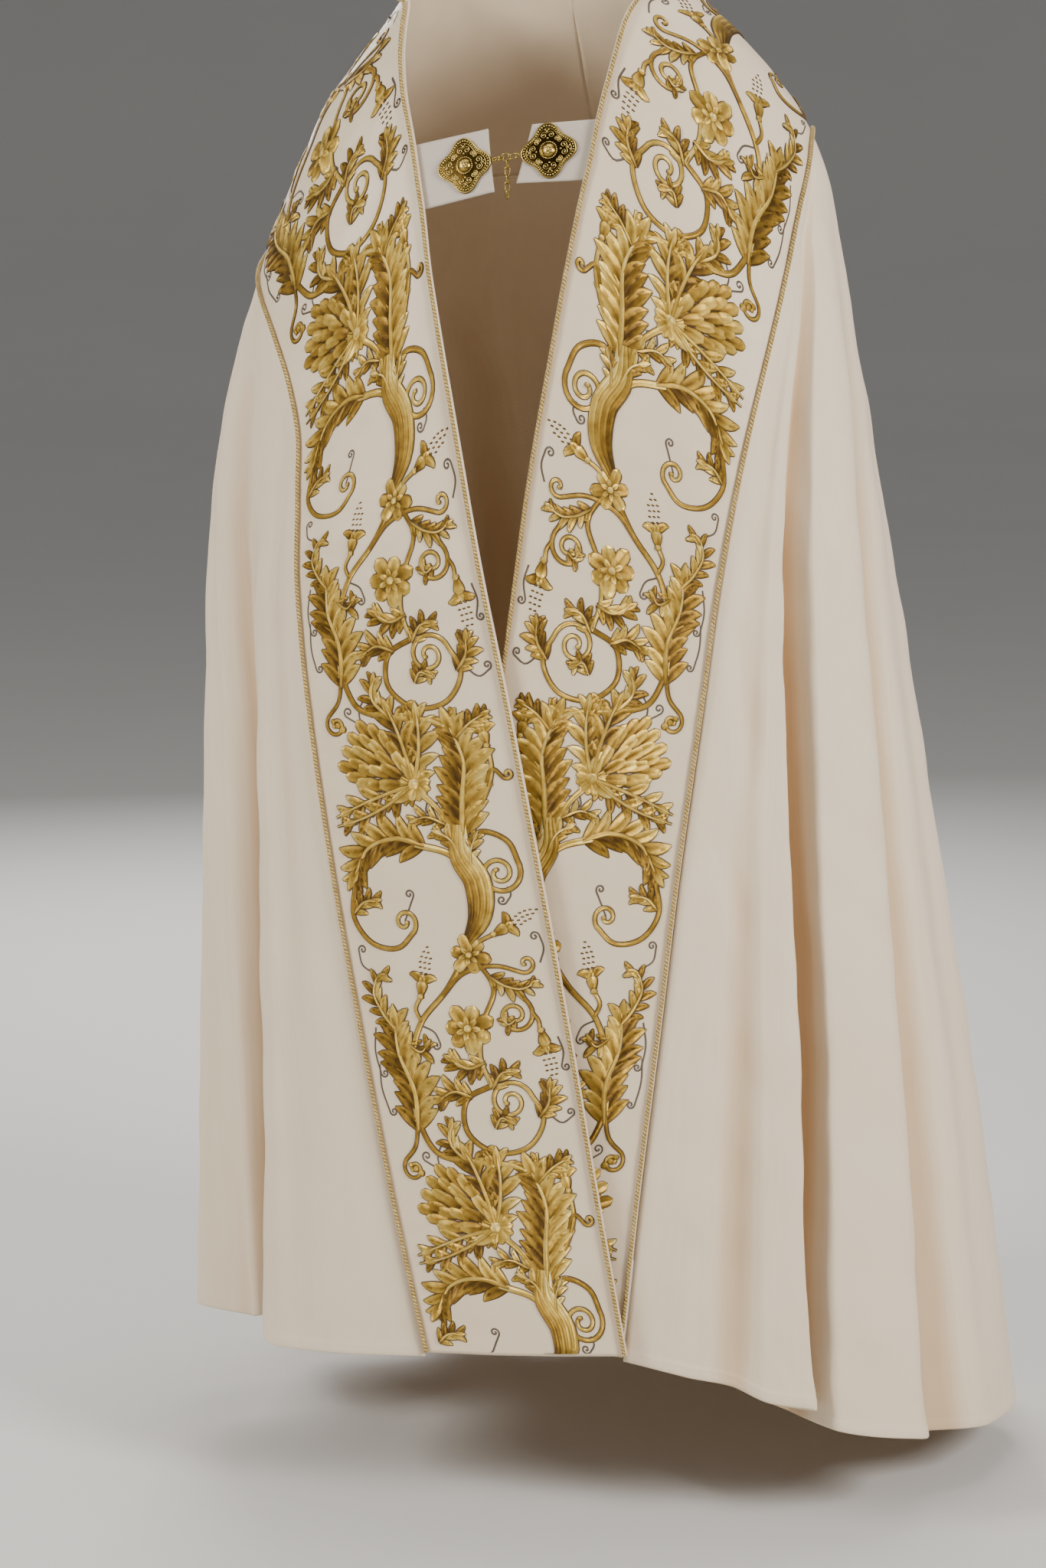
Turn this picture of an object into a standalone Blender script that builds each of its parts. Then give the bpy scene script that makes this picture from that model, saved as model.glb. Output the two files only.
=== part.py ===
"""Cope, in the form it takes when worn: a half-circle mantle, two embroidered front bands
that run on round the neck to a seam at the back, gold piping along the bands, and a breast
clasp of two filigree plates on cloth tabs, joined by rings, with a short chain end.

Metres, +Z up. The wearer would face -Y, so +X is the wearer's left. The origin is the middle
of the neck base, at shoulder height. Every cloth piece is a thin wall through points on one
draped form. A point of that form has a turn and a height: turn 0 is the middle of the front,
90 the wearer's right side, 180 the middle of the back and 270 the wearer's left side.
"""
import math

import bmesh
import bpy
import numpy as np
from mathutils import Matrix, Vector

# Cloth
MANTLE_WALL = 0.0020
BAND_WALL = 0.0024
TAB_WALL = 0.0030
TAB_CLEARANCE = 0.0010
SEAM_GAP = 0.0004
LYING_GAP = 0.0003
BAND_WIDTH = 0.225
PIPING_DIAMETER = 0.0046
PIPING_INSET = 0.0030
PIPING_CLEARANCE = 0.0004

# The wearer's right front lies on the left one from the chest down
LAP = 0.006
LAP_TOP = -0.38
LAP_RUN = 0.17
LAP_FULL_TURN = 24.0
LAP_FADE_TURN = 24.0

# How far along the bands the mantle's fan of folds starts, and how long the bands are
RIGHT_SHOULDER = 0.60
LEFT_SHOULDER = 0.50
BAND_END = 1.84

# Clasp
PLATE_RADIUS = 0.0255
PLATE_LOBE = 0.0035
CHAIN_HEIGHT = 0.0012
WIRE_RADIUS = 0.0007
CHAIN_ROLL = -40.0
RIGHT_PLATE = (6.1, -0.1117)
LEFT_PLATE = (-10.3, -0.0970)

# Grid steps
FOLD_STEPS = 4
FALL_STEPS = 16
FALL_SPACING = 1.45
NECK_STEPS = 13
BAND_STEPS = 4
TAB_STEPS = 4
PLATE_STEPS = 32
OVAL_BENDS = 7
WIRE_SIDES = 6

# How far apart two points lie where the form's direction is read
TURN_STEP = 0.3
HEIGHT_STEP = 0.003

# How far down the mantle its wall turns from the form's direction to the folds' own
FOLDS_START = 0.06
FOLDS_RUN = 0.20


def table(columns, rows):
    """A short table as one array for each named column."""
    return dict(zip(columns.split(), np.array(rows, dtype=float).T))


# The draped form at each height: half-widths to the wearer's right and left, and the
# depths of its front, middle and back. The square column fills out the corners.
LEVELS = table("height right left front middle back square", [
    (-1.450, .415, .465, -.220, .150, .530, .14),
    (-1.050, .395, .432, -.206, .110, .440, .14),
    (-0.700, .378, .388, -.195, .075, .350, .14),
    (-0.500, .368, .360, -.186, .056, .300, .14),
    (-0.340, .340, .334, -.174, .045, .262, .14),
    (-0.200, .300, .310, -.152, .036, .225, .13),
    (-0.100, .260, .287, -.124, .032, .190, .10),
    (-0.050, .236, .262, -.108, .030, .168, .08),
    (0.000, .197, .222, -.096, .030, .142, .05),
    (0.055, .154, .166, -.085, .030, .112, .02),
    (0.085, .134, .142, -.070, .030, .096, .00),
    (0.120, .118, .122, -.050, .030, .082, .00),
])

# The two edges of each band, from the back seam over the shoulder to the hem
RIGHT_BAND = table("along inner_turn inner_height outer_turn outer_height", [
    (0.00, 180.0, .088, 180.0, -.118),
    (0.09, 150.0, .084, 158.0, -.120),
    (0.18, 122.0, .076, 138.0, -.130),
    (0.27, 96.0, .068, 117.0, -.150),
    (0.36, 70.0, .060, 97.0, -.175),
    (0.44, 49.0, .050, 79.0, -.206),
    (0.51, 33.0, -.005, 62.0, -.233),
    (0.58, 22.0, -.062, 49.0, -.265),
    (0.66, 14.0, -.138, 39.0, -.312),
    (0.75, 8.8, -.226, 32.5, -.372),
    (0.85, 4.7, -.319, 30.3, -.440),
    (1.00, -0.4, -.470, 28.6, -.530),
    (1.14, -4.8, -.610, 25.8, -.650),
    (1.31, -9.2, -.780, 20.6, -.822),
    (1.48, -12.9, -.950, 15.2, -.992),
    (1.66, -16.2, -1.125, 9.8, -1.165),
    (1.84, -19.6, -1.297, 5.0, -1.312),
])
LEFT_BAND = table("along inner_turn inner_height outer_turn outer_height", [
    (0.00, 180.0, .088, 180.0, -.118),
    (0.09, 206.0, .086, 203.0, -.110),
    (0.18, 234.0, .080, 224.0, -.096),
    (0.27, 262.0, .074, 243.0, -.084),
    (0.36, 290.0, .066, 261.0, -.078),
    (0.44, 312.0, .055, 276.0, -.099),
    (0.51, 327.0, .020, 288.0, -.145),
    (0.58, 337.4, -.039, 296.5, -.207),
    (0.66, 342.6, -.115, 303.5, -.270),
    (0.75, 346.0, -.205, 309.6, -.335),
    (0.85, 348.8, -.300, 315.0, -.404),
    (1.00, 352.8, -.450, 321.5, -.520),
    (1.14, 356.0, -.605, 326.0, -.640),
    (1.31, 359.2, -.780, 331.3, -.805),
    (1.48, 362.0, -.950, 335.2, -.965),
    (1.66, 364.6, -1.125, 338.6, -1.130),
    (1.84, 367.2, -1.297, 341.2, -1.302),
])

# The mantle's hem, which rises to the front
HEM = table("turn height", [
    (0, -1.312), (20, -1.328), (40, -1.340), (60, -1.358), (90, -1.375), (135, -1.415),
    (180, -1.440), (225, -1.460), (262, -1.452), (285, -1.425), (300, -1.400), (315, -1.365),
    (328, -1.330), (345, -1.300),
])

# The mantle's folds, a row for each ridge (depth out) and valley (depth in), from the
# wearer's right front round the back to the left front. Round says where a row stands
# between the two front seams, 0 to 1, at the shoulders and at the hem. The depths are a
# fifth of the way down, half-way and at the hem. Lean tips the row round, in degrees.
FOLDS = table("shoulder_round hem_round upper_depth middle_depth hem_depth lean", [
    (.000, .000, .000, .000, .000, 0.0),
    (.004, .040, .000, .002, .003, 0.0),
    (.008, .071, .000, .006, .004, 0.0),
    (.040, .110, -.008, -.045, -.100, 13.0),
    (.080, .152, -.010, -.065, -.120, 15.0),
    (.125, .187, .002, -.020, -.056, -3.0),
    (.150, .205, .005, .014, .012, -1.0),
    (.185, .236, .006, .026, .032, 0.0),
    (.240, .285, -.006, -.028, -.060, 0.0),
    (.300, .332, .004, .018, .032, 0.0),
    (.350, .375, -.005, -.022, -.038, 0.0),
    (.395, .413, .004, .016, .026, 0.0),
    (.440, .450, -.006, -.026, -.050, 0.0),
    (.490, .494, .005, .018, .032, 0.0),
    (.532, .532, -.004, -.018, -.034, 0.0),
    (.572, .570, .004, .014, .026, 0.0),
    (.615, .612, -.006, -.028, -.050, 0.0),
    (.660, .655, .005, .018, .032, 0.0),
    (.705, .700, -.004, -.020, -.038, 0.0),
    (.752, .745, .000, -.002, .014, 0.0),
    (.800, .795, -.002, -.010, .004, 0.0),
    (.842, .834, -.004, -.022, -.030, 0.0),
    (.885, .868, .002, .008, .014, 0.0),
    (.934, .902, .001, .006, .006, 3.0),
    (.943, .911, -.020, -.050, -.058, 4.5),
    (.952, .920, -.020, -.050, -.058, 4.5),
    (.966, .931, .001, .004, .004, -3.0),
    (.973, .944, .002, .005, .008, 0.0),
    (.980, .957, .000, -.003, -.010, 0.0),
    (.988, .976, .000, .001, .004, 0.0),
    (1.00, 1.00, .000, .000, .000, 0.0),
])
DEPTH_STOPS = (0.0, 0.2, 0.55, 1.0)

# The corners of the two tabs: near ones over the opening, far ones behind the band
RIGHT_TAB = table("turn height", [
    (19.2, -.0908), (2.3, -.0748), (-0.5, -.1367), (14.2, -.1557),
])
LEFT_TAB = table("turn height", [
    (-21.0, -.0655), (-6.8, -.0706), (-4.4, -.1284), (-18.2, -.1250),
])

# A filigree plate's profile, from its middle boss to its rim
PLATE_PROFILE = table("out height", [
    (0.00, .0052), (0.12, .0048), (0.22, .0026), (0.30, .0016), (0.42, .0030), (0.66, .0026),
    (0.86, .0018), (0.94, .0024), (1.00, .0020),
])

# The chain between the plates, then its free end: half-lengths and half-widths of each
# oval of wire, at the middle of the wire
CHAIN = {
    "eye_right": (.0020, .0020),
    "link_1": (.0029, .0021),
    "link_2": (.0029, .0021),
    "ring_right": (.0044, .0044),
    "ring_left": (.0047, .0047),
    "eye_left": (.0020, .0020),
}
TAIL_LINKS = 5
TAIL_LINK = (.0046, .0024)
TAIL_CLEARANCE = 0.0004
EYE_REACH = 0.0030

LOOKS = {
    "ivory_wool": ((.80, .75, .66), .80, 0.0),
    "ivory_satin": ((.80, .76, .70), .45, 0.0),
    "gold_cord": ((.62, .47, .18), .45, 0.2),
    "greige_satin": ((.70, .65, .58), .50, 0.0),
    "antique_gold": ((.55, .42, .16), .35, 1.0),
}


def smooth_step(share):
    share = np.clip(share, 0.0, 1.0)
    return share * share * (3 - 2 * share)


def hermite(share, run, start, end, start_slope, end_slope):
    """A cubic from one value and slope to the next, over a run."""
    rest = 1 - share
    leaving = rest**2 * ((1 + 2 * share) * start + share * run * start_slope)
    arriving = share**2 * ((3 - 2 * share) * end - rest * run * end_slope)
    return leaving + arriving


def follow(where, stops, values):
    """A smooth curve through values at rising stops, read at where."""
    stops = np.asarray(stops, float)
    values = np.asarray(values, float)
    slopes = np.diff(values) / np.diff(stops)
    runs = np.diff(stops)
    middle = (slopes[:-1] * runs[1:] + slopes[1:] * runs[:-1]) / (runs[1:] + runs[:-1])
    tangents = np.concatenate([slopes[:1], middle, slopes[-1:]])
    first = np.clip(np.searchsorted(stops, where, side="right") - 1, 0, len(stops) - 2)
    run = runs[first]
    share = np.clip((where - stops[first]) / run, -0.5, 1.5)
    return hermite(share, run, values[first], values[first + 1], tangents[first], tangents[first + 1])


def form(turn, height):
    """The draped form's point at a turn and a height."""
    level = {name: follow(height, LEVELS["height"], LEVELS[name]) for name in LEVELS}
    sine = np.sin(np.radians(turn))
    cosine = np.cos(np.radians(turn))
    half_width = np.where(sine > 0, level["right"], level["left"])
    half_depth = np.where(cosine > 0, level["middle"] - level["front"], level["back"] - level["middle"])
    x = -half_width * sine * (1 + level["square"] * cosine**2)
    y = level["middle"] - half_depth * cosine * (1 + level["square"] * sine**2)
    return np.stack([x, y, height + 0 * x], axis=-1)


def form_normal(turn, height):
    """The form's outward direction, from points a little to each side."""
    across = form(turn + TURN_STEP, height) - form(turn - TURN_STEP, height)
    along = form(turn, height + HEIGHT_STEP) - form(turn, height - HEIGHT_STEP)
    normal = np.cross(along, across)
    return normal / np.linalg.norm(normal, axis=-1, keepdims=True)


def lap(turn, height):
    """How far the fronts stand off the form: the right one outward, the left one inward."""
    from_front = np.abs((turn + 180) % 360 - 180)
    down = smooth_step((LAP_TOP - height) / LAP_RUN)
    round_front = 1 - smooth_step((from_front - LAP_FULL_TURN) / LAP_FADE_TURN)
    return LAP * down * round_front


def place(turn, height, out, side):
    """A point of the cloth, out from the form. Side is 1 for the right front, -1 for the left."""
    turn, height, out = np.broadcast_arrays(turn, height, out)
    lift = (out + side * lap(turn, height))[..., None]
    return form(turn, height) + form_normal(turn, height) * lift


def band_spot(band, along, across):
    """Turn and height on a band, across it from 0 at the inner edge to 1 at the outer."""
    edge = {name: follow(along, band["along"], band[name]) for name in band}
    turn = edge["inner_turn"] * (1 - across) + edge["outer_turn"] * across
    height = edge["inner_height"] * (1 - across) + edge["outer_height"] * across
    return turn, height


def band_stations(shoulder):
    """Steps along a band: even ones round the neck, then the mantle's own down the front."""
    neck = np.linspace(SEAM_GAP / 2, shoulder, NECK_STEPS + 1)
    front = shoulder + (BAND_END - shoulder) * fall(np.arange(FALL_STEPS + 1))
    return np.concatenate([neck, front[1:]])


def fall(row):
    """How far down from the shoulders a grid row lies, with the upper rows closer."""
    return (row / FALL_STEPS) ** FALL_SPACING


def seam_points(band, shoulder, side):
    """The mantle's edge beside a band's neck stretch, from the shoulder to the back seam."""
    along = band_stations(shoulder)[:NECK_STEPS + 1][::-1]
    turn, height = band_spot(band, along, 1 + SEAM_GAP / BAND_WIDTH)
    return along, place(turn, height, 0.0, side)


def mantle_spot(fold, down):
    """Turn, height, depth and side on the mantle. Fold counts the rows of FOLDS, down goes
    from 0 at the shoulders to 1 at the hem."""
    row = np.clip(np.floor(fold).astype(int), 0, len(FOLDS["lean"]) - 2)
    share = fold - row
    blend = smooth_step(share)
    shoulder_round = FOLDS["shoulder_round"][row] * (1 - share) + FOLDS["shoulder_round"][row + 1] * share
    hem_round = FOLDS["hem_round"][row] * (1 - share) + FOLDS["hem_round"][row + 1] * share
    round_ = shoulder_round * (1 - down) + hem_round * down
    upper, middle, hem = (FOLDS[name][row] * (1 - blend) + FOLDS[name][row + 1] * blend
                          for name in ("upper_depth", "middle_depth", "hem_depth"))
    depth = depth_down(down, upper, middle, hem)
    lean = (FOLDS["lean"][row] * (1 - blend) + FOLDS["lean"][row + 1] * blend) * down**2
    turn, height = between_seams(round_, down)
    return turn + lean, height, depth, np.where(turn < 180, 1, -1)


def depth_down(down, upper, middle, hem):
    """A fold's depth from nothing at the shoulders, by way of its three depths."""
    stops = np.array(DEPTH_STOPS)
    values = [0 * upper, upper, middle, hem]
    slopes = [(values[i + 1] - values[i]) / (stops[i + 1] - stops[i]) for i in range(3)]
    tangents = [slopes[0], (slopes[0] + slopes[1]) / 2, (slopes[1] + slopes[2]) / 2, slopes[2]]
    depth = 0 * upper
    for i in range(3):
        run = stops[i + 1] - stops[i]
        share = (down - stops[i]) / run
        piece = hermite(share, run, values[i], values[i + 1], tangents[i], tangents[i + 1])
        last = down <= 1 if i == 2 else down < stops[i + 1]
        depth = np.where((down >= stops[i]) & last, piece, depth)
    return depth


def between_seams(round_, down):
    """The mantle before its folds: blended between the band seams, the neck and the hem."""
    edge = 1 + SEAM_GAP / BAND_WIDTH
    right = band_spot(RIGHT_BAND, RIGHT_SHOULDER + (BAND_END - RIGHT_SHOULDER) * down, edge)
    left = band_spot(LEFT_BAND, LEFT_SHOULDER + (BAND_END - LEFT_SHOULDER) * down, edge)
    run = round_ * (RIGHT_SHOULDER + LEFT_SHOULDER)
    over_right = band_spot(RIGHT_BAND, np.clip(RIGHT_SHOULDER - run, 0, None), edge)
    over_left = band_spot(LEFT_BAND, np.clip(run - RIGHT_SHOULDER, 0, None), edge)
    corners = [band_spot(RIGHT_BAND, np.array(along), edge) for along in (RIGHT_SHOULDER, BAND_END)]
    corners += [band_spot(LEFT_BAND, np.array(along), edge) for along in (LEFT_SHOULDER, BAND_END)]
    hem_turn = corners[1][0] + (corners[3][0] - corners[1][0]) * round_
    hem = (hem_turn, follow(hem_turn, HEM["turn"], HEM["height"]))
    spot = []
    for part in (0, 1):
        top = np.where(run < RIGHT_SHOULDER, over_right[part], over_left[part])
        sides = (1 - round_) * right[part] + round_ * left[part]
        rows = (1 - down) * top + down * hem[part]
        ends = ((1 - round_) * ((1 - down) * corners[0][part] + down * corners[1][part])
                + round_ * ((1 - down) * corners[2][part] + down * corners[3][part]))
        spot.append(sides + rows - ends)
    return spot


def mantle_wall():
    """The mantle's mid-wall points and outward directions, by row and column."""
    fold, down = np.meshgrid(np.arange((len(FOLDS["lean"]) - 1) * FOLD_STEPS + 1) / FOLD_STEPS,
                             fall(np.arange(FALL_STEPS + 1)))
    turn, height, depth, side = mantle_spot(fold, down)
    spots = place(turn, height, depth, side)
    spots[0] = neck_seam(fold[0])
    folded = np.cross(np.gradient(spots, axis=1), np.gradient(spots, axis=0))
    folded /= np.linalg.norm(folded, axis=-1, keepdims=True)
    share = smooth_step((down - FOLDS_START) / FOLDS_RUN)[..., None]
    share[:, (0, -1)] = 0.0
    normals = folded * share + form_normal(turn, height) * (1 - share)
    return spots, normals / np.linalg.norm(normals, axis=-1, keepdims=True)


def neck_seam(fold):
    """The mantle's upper edge, on straight runs between the bands' own stations."""
    right_along, right_points = seam_points(RIGHT_BAND, RIGHT_SHOULDER, 1)
    left_along, left_points = seam_points(LEFT_BAND, LEFT_SHOULDER, -1)
    seam_run = np.concatenate([RIGHT_SHOULDER - right_along, RIGHT_SHOULDER + left_along[::-1]])
    seam = np.concatenate([right_points, left_points[::-1]])
    rows = np.arange(len(FOLDS["lean"]))
    run = np.interp(fold, rows, FOLDS["shoulder_round"]) * (RIGHT_SHOULDER + LEFT_SHOULDER)
    return np.stack([np.interp(run, seam_run, seam[:, axis]) for axis in range(3)], axis=-1)


def look(obj, name):
    """Gives an object its own material, with the named colour, roughness and metallic value."""
    colour, roughness, metallic = LOOKS[name]
    material = bpy.data.materials.new(f"{obj.name}_{name}")
    material.use_nodes = True
    shader = material.node_tree.nodes["Principled BSDF"]
    shader.inputs["Base Color"].default_value = (*colour, 1.0)
    shader.inputs["Roughness"].default_value = roughness
    shader.inputs["Metallic"].default_value = metallic
    obj.data.materials.append(material)


def add_object(name, data, look_name):
    obj = bpy.data.objects.new(name, data)
    bpy.context.collection.objects.link(obj)
    look(obj, look_name)
    return obj


def mesh_from(bm, name):
    """A smooth-shaded mesh from a bmesh, which is freed."""
    mesh = bpy.data.meshes.new(name)
    bm.to_mesh(mesh)
    bm.free()
    mesh.shade_smooth()
    return mesh


def cloth(name, spots, normals, wall, look_name):
    """A cloth wall round a grid of mid-wall points, with its thickness along the normals."""
    rows, columns = spots.shape[0] - 1, spots.shape[1] - 1
    bm = bmesh.new()
    for side in (0.5, -0.5):
        face = spots + normals * wall * side
        grid = bmesh.ops.create_grid(bm, x_segments=columns, y_segments=rows, size=0.5)
        for vert in grid["verts"]:
            column = round((vert.co.x + 0.5) * columns)
            row = round((vert.co.y + 0.5) * rows)
            vert.co = face[row, column]
    bmesh.ops.bridge_loops(bm, edges=[edge for edge in bm.edges if edge.is_boundary])
    bmesh.ops.recalc_face_normals(bm, faces=bm.faces[:])
    add_object(name, mesh_from(bm, name), look_name)


def add_band(name, band, shoulder, side):
    """One band, with its piping along both edges."""
    across, along = np.meshgrid(np.linspace(0, 1, BAND_STEPS + 1), band_stations(shoulder))
    turn, height = band_spot(band, along, across)
    cloth(f"orphrey_{name}", place(turn, height, 0.0, side), form_normal(turn, height),
          BAND_WALL, "ivory_satin")
    lift = BAND_WALL / 2 + PIPING_CLEARANCE + PIPING_DIAMETER / 2
    for edge, inset in (("inner", PIPING_INSET), ("outer", BAND_WIDTH - PIPING_INSET)):
        turn, height = band_spot(band, band_stations(shoulder), inset / BAND_WIDTH)
        add_piping(f"piping_{name}_{edge}", place(turn, height, lift, side))


def add_piping(name, route):
    """A sewn-on cord along a band's edge."""
    curve = bpy.data.curves.new(name, "CURVE")
    curve.dimensions = "3D"
    curve.bevel_depth = PIPING_DIAMETER / 2
    curve.bevel_resolution = 1
    curve.use_fill_caps = True
    spline = curve.splines.new("POLY")
    spline.points.add(len(route) - 1)
    for point, spot in zip(spline.points, route):
        point.co = (*spot, 1.0)
    add_object(name, curve, "gold_cord")


def add_tab(name, corners):
    """A clasp tab, which comes out from under a band over the front opening."""
    depth = -(BAND_WALL / 2 + TAB_CLEARANCE + TAB_WALL / 2)
    across, down = np.meshgrid(np.linspace(0, 1, TAB_STEPS + 1), np.linspace(0, 1, TAB_STEPS + 1))
    spot = []
    for part in ("turn", "height"):
        far_top, near_top, near_foot, far_foot = corners[part]
        top = far_top + (near_top - far_top) * across
        foot = far_foot + (near_foot - far_foot) * across
        spot.append(top + (foot - top) * down)
    cloth(name, place(*spot, depth, 0), form_normal(*spot), TAB_WALL, "greige_satin")


def plate_frame(spot):
    """The matrix of a plate lying on its tab: X along the clasp, Z outward."""
    turn, height = (np.array(value) for value in spot)
    tab_face = -(BAND_WALL / 2 + TAB_CLEARANCE)
    middle = Vector(place(turn, height, tab_face + LYING_GAP, 0))
    outward = Vector(form_normal(turn, height))
    right = Vector(place(*(np.array(value) for value in RIGHT_PLATE), 0.0, 0))
    left = Vector(place(*(np.array(value) for value in LEFT_PLATE), 0.0, 0))
    along = (left - right).normalized()
    across = outward.cross(along).normalized()
    along = across.cross(outward).normalized()
    matrix = Matrix((along, across, outward)).transposed().to_4x4()
    matrix.translation = middle
    return matrix


def plate_radius(angle):
    """The plate's four-lobed outline."""
    return PLATE_RADIUS + PLATE_LOBE * math.cos(4 * angle)


def add_plate(name, spot):
    """A four-lobed plate with a domed boss and a raised rim, from its profile."""
    bm = bmesh.new()
    angles = [2 * math.pi * step / PLATE_STEPS for step in range(PLATE_STEPS)]
    profile = list(zip(PLATE_PROFILE["out"], PLATE_PROFILE["height"]))
    crown = bm.verts.new((0, 0, profile[0][1]))
    rings = []
    for out, height in profile[1:] + [(1.0, 0.0)]:
        ring = []
        for angle in angles:
            reach = out * plate_radius(angle)
            ring.append(bm.verts.new((reach * math.cos(angle), reach * math.sin(angle), height)))
        rings.append(ring)
    for i in range(PLATE_STEPS):
        j = (i + 1) % PLATE_STEPS
        bm.faces.new((crown, rings[0][i], rings[0][j]))
        for inner, outer in zip(rings, rings[1:]):
            bm.faces.new((inner[i], outer[i], outer[j], inner[j]))
    bm.faces.new(rings[-1][::-1])
    bm.transform(plate_frame(spot))
    add_object(name, mesh_from(bm, name), "antique_gold")


def add_oval(name, matrix, half_length, half_width):
    """A closed oval of wire in the matrix's XY plane, long along X."""
    straight = half_length - half_width
    path = []
    for end, heading in ((1, 0.0), (-1, math.pi)):
        for bend in range(OVAL_BENDS):
            angle = heading + math.pi * ((bend + 0.5) / OVAL_BENDS - 0.5)
            path.append(Vector((end * straight + half_width * math.cos(angle),
                                half_width * math.sin(angle), 0)))
    bm = bmesh.new()
    rings = []
    for i, point in enumerate(path):
        ahead = path[(i + 1) % len(path)] - path[i - 1]
        outward = Vector((ahead.y, -ahead.x, 0)).normalized()
        ring = []
        for side in range(WIRE_SIDES):
            angle = 2 * math.pi * side / WIRE_SIDES
            lift = Vector((0, 0, math.sin(angle)))
            ring.append(bm.verts.new(point + (outward * math.cos(angle) + lift) * WIRE_RADIUS))
        rings.append(ring)
    for i, ring in enumerate(rings):
        following = rings[(i + 1) % len(rings)]
        for side in range(WIRE_SIDES):
            beside = (side + 1) % WIRE_SIDES
            bm.faces.new((ring[side], ring[beside], following[beside], following[side]))
    bmesh.ops.recalc_face_normals(bm, faces=bm.faces[:])
    bm.transform(matrix)
    return add_object(name, mesh_from(bm, name), "antique_gold")


def add_chain():
    """The links and rings between the plates, and the free end that hangs from a ring."""
    right = plate_frame(RIGHT_PLATE)
    left = plate_frame(LEFT_PLATE)
    tip = PLATE_RADIUS + PLATE_LOBE + EYE_REACH
    start = right @ Vector((tip, 0, CHAIN_HEIGHT))
    end = left @ Vector((-tip, 0, CHAIN_HEIGHT))
    along = (end - start).normalized()
    outward = right.col[2].xyz + left.col[2].xyz
    outward = (outward - along * outward.dot(along)).normalized()
    across = outward.cross(along)
    names = list(CHAIN)
    reaches = [CHAIN[a][0] + CHAIN[b][0] - 2 * WIRE_RADIUS for a, b in zip(names, names[1:])]
    clearance = (sum(reaches) - (end - start).length) / len(reaches)
    middle = start
    for i, name in enumerate(names):
        if i:
            middle = middle + along * (reaches[i - 1] - clearance)
        roll = math.radians(CHAIN_ROLL + 90 * (i % 2))
        side = across * math.cos(roll) + outward * math.sin(roll)
        matrix = Matrix((along, side, along.cross(side))).transposed().to_4x4()
        matrix.translation = middle
        add_oval(name, matrix, *CHAIN[name])
        if name == "ring_right":
            add_tail(middle, side)


def add_tail(ring_middle, ring_side):
    """The chain's free end, hanging straight down from the right ring's lowest wire."""
    lowest = ring_side if ring_side.z < 0 else -ring_side
    hinge = ring_middle + lowest * CHAIN["ring_right"][0]
    pivot = bpy.data.objects.new("tail_pivot", None)
    pivot.location = hinge
    bpy.context.collection.objects.link(pivot)
    half_length, half_width = TAIL_LINK
    drop = half_length - 2 * WIRE_RADIUS - TAIL_CLEARANCE
    down = Vector((0, 0, -1))
    for i in range(TAIL_LINKS):
        side = Vector((0, 1, 0)) if i % 2 == 0 else Vector((1, 0, 0))
        matrix = Matrix((down, side, down.cross(side))).transposed().to_4x4()
        matrix.translation = down * drop
        add_oval(f"tail_link_{i + 1}", matrix, half_length, half_width).parent = pivot
        drop += 2 * half_length - 2 * WIRE_RADIUS - TAIL_CLEARANCE


def build():
    for obj in list(bpy.data.objects):
        bpy.data.objects.remove(obj)
    cloth("mantle", *mantle_wall(), MANTLE_WALL, "ivory_wool")
    add_band("right", RIGHT_BAND, RIGHT_SHOULDER, 1)
    add_band("left", LEFT_BAND, LEFT_SHOULDER, -1)
    add_tab("tab_right", RIGHT_TAB)
    add_tab("tab_left", LEFT_TAB)
    add_plate("plate_right", RIGHT_PLATE)
    add_plate("plate_left", LEFT_PLATE)
    add_chain()


build()
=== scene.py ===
"""The looks of a cope: a fine wool mantle with its hem and creases, satin front bands with padded
gold embroidery, twisted gold cord, satin tabs and a filigree clasp.

Metres, +Z up, and the wearer would face -Y. Turn 0 is the middle of the front, 90 the wearer's
right side and 180 the middle of the back. The draped form and its tables are the solids' own,
read here at finer steps. The embroidery is drawn flat, in millimetres, and then laid on a band.
"""
import math

import bmesh
import bpy
import numpy as np
from mathutils import Matrix, Vector


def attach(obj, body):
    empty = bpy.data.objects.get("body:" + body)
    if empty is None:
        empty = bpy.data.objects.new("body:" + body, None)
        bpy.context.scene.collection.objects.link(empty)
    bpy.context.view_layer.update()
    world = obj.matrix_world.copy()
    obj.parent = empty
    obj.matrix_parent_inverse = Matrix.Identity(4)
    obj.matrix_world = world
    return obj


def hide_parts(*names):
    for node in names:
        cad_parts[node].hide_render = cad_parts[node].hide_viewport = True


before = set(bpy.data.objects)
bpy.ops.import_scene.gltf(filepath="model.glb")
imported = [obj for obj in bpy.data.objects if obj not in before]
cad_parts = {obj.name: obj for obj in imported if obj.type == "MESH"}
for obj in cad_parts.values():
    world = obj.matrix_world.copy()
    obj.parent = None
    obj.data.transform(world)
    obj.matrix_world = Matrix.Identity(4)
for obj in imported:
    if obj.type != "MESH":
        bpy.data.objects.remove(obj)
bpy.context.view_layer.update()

# Cloth
MANTLE_WALL = 0.0020
BAND_WALL = 0.0024
TAB_WALL = 0.0030
TAB_CLEARANCE = 0.0010
SEAM_GAP = 0.0004
LYING_GAP = 0.0003
BAND_WIDTH = 0.225
PIPING_DIAMETER = 0.0046
PIPING_INSET = 0.0030
PIPING_CLEARANCE = 0.0004

# The wearer's right front lies on the left one from the chest down
LAP = 0.006
LAP_TOP = -0.38
LAP_RUN = 0.17
LAP_FULL_TURN = 24.0
LAP_FADE_TURN = 24.0

# How far along the bands the mantle's fan of folds starts, and how long the bands are
RIGHT_SHOULDER = 0.60
LEFT_SHOULDER = 0.50
BAND_END = 1.84

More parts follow.
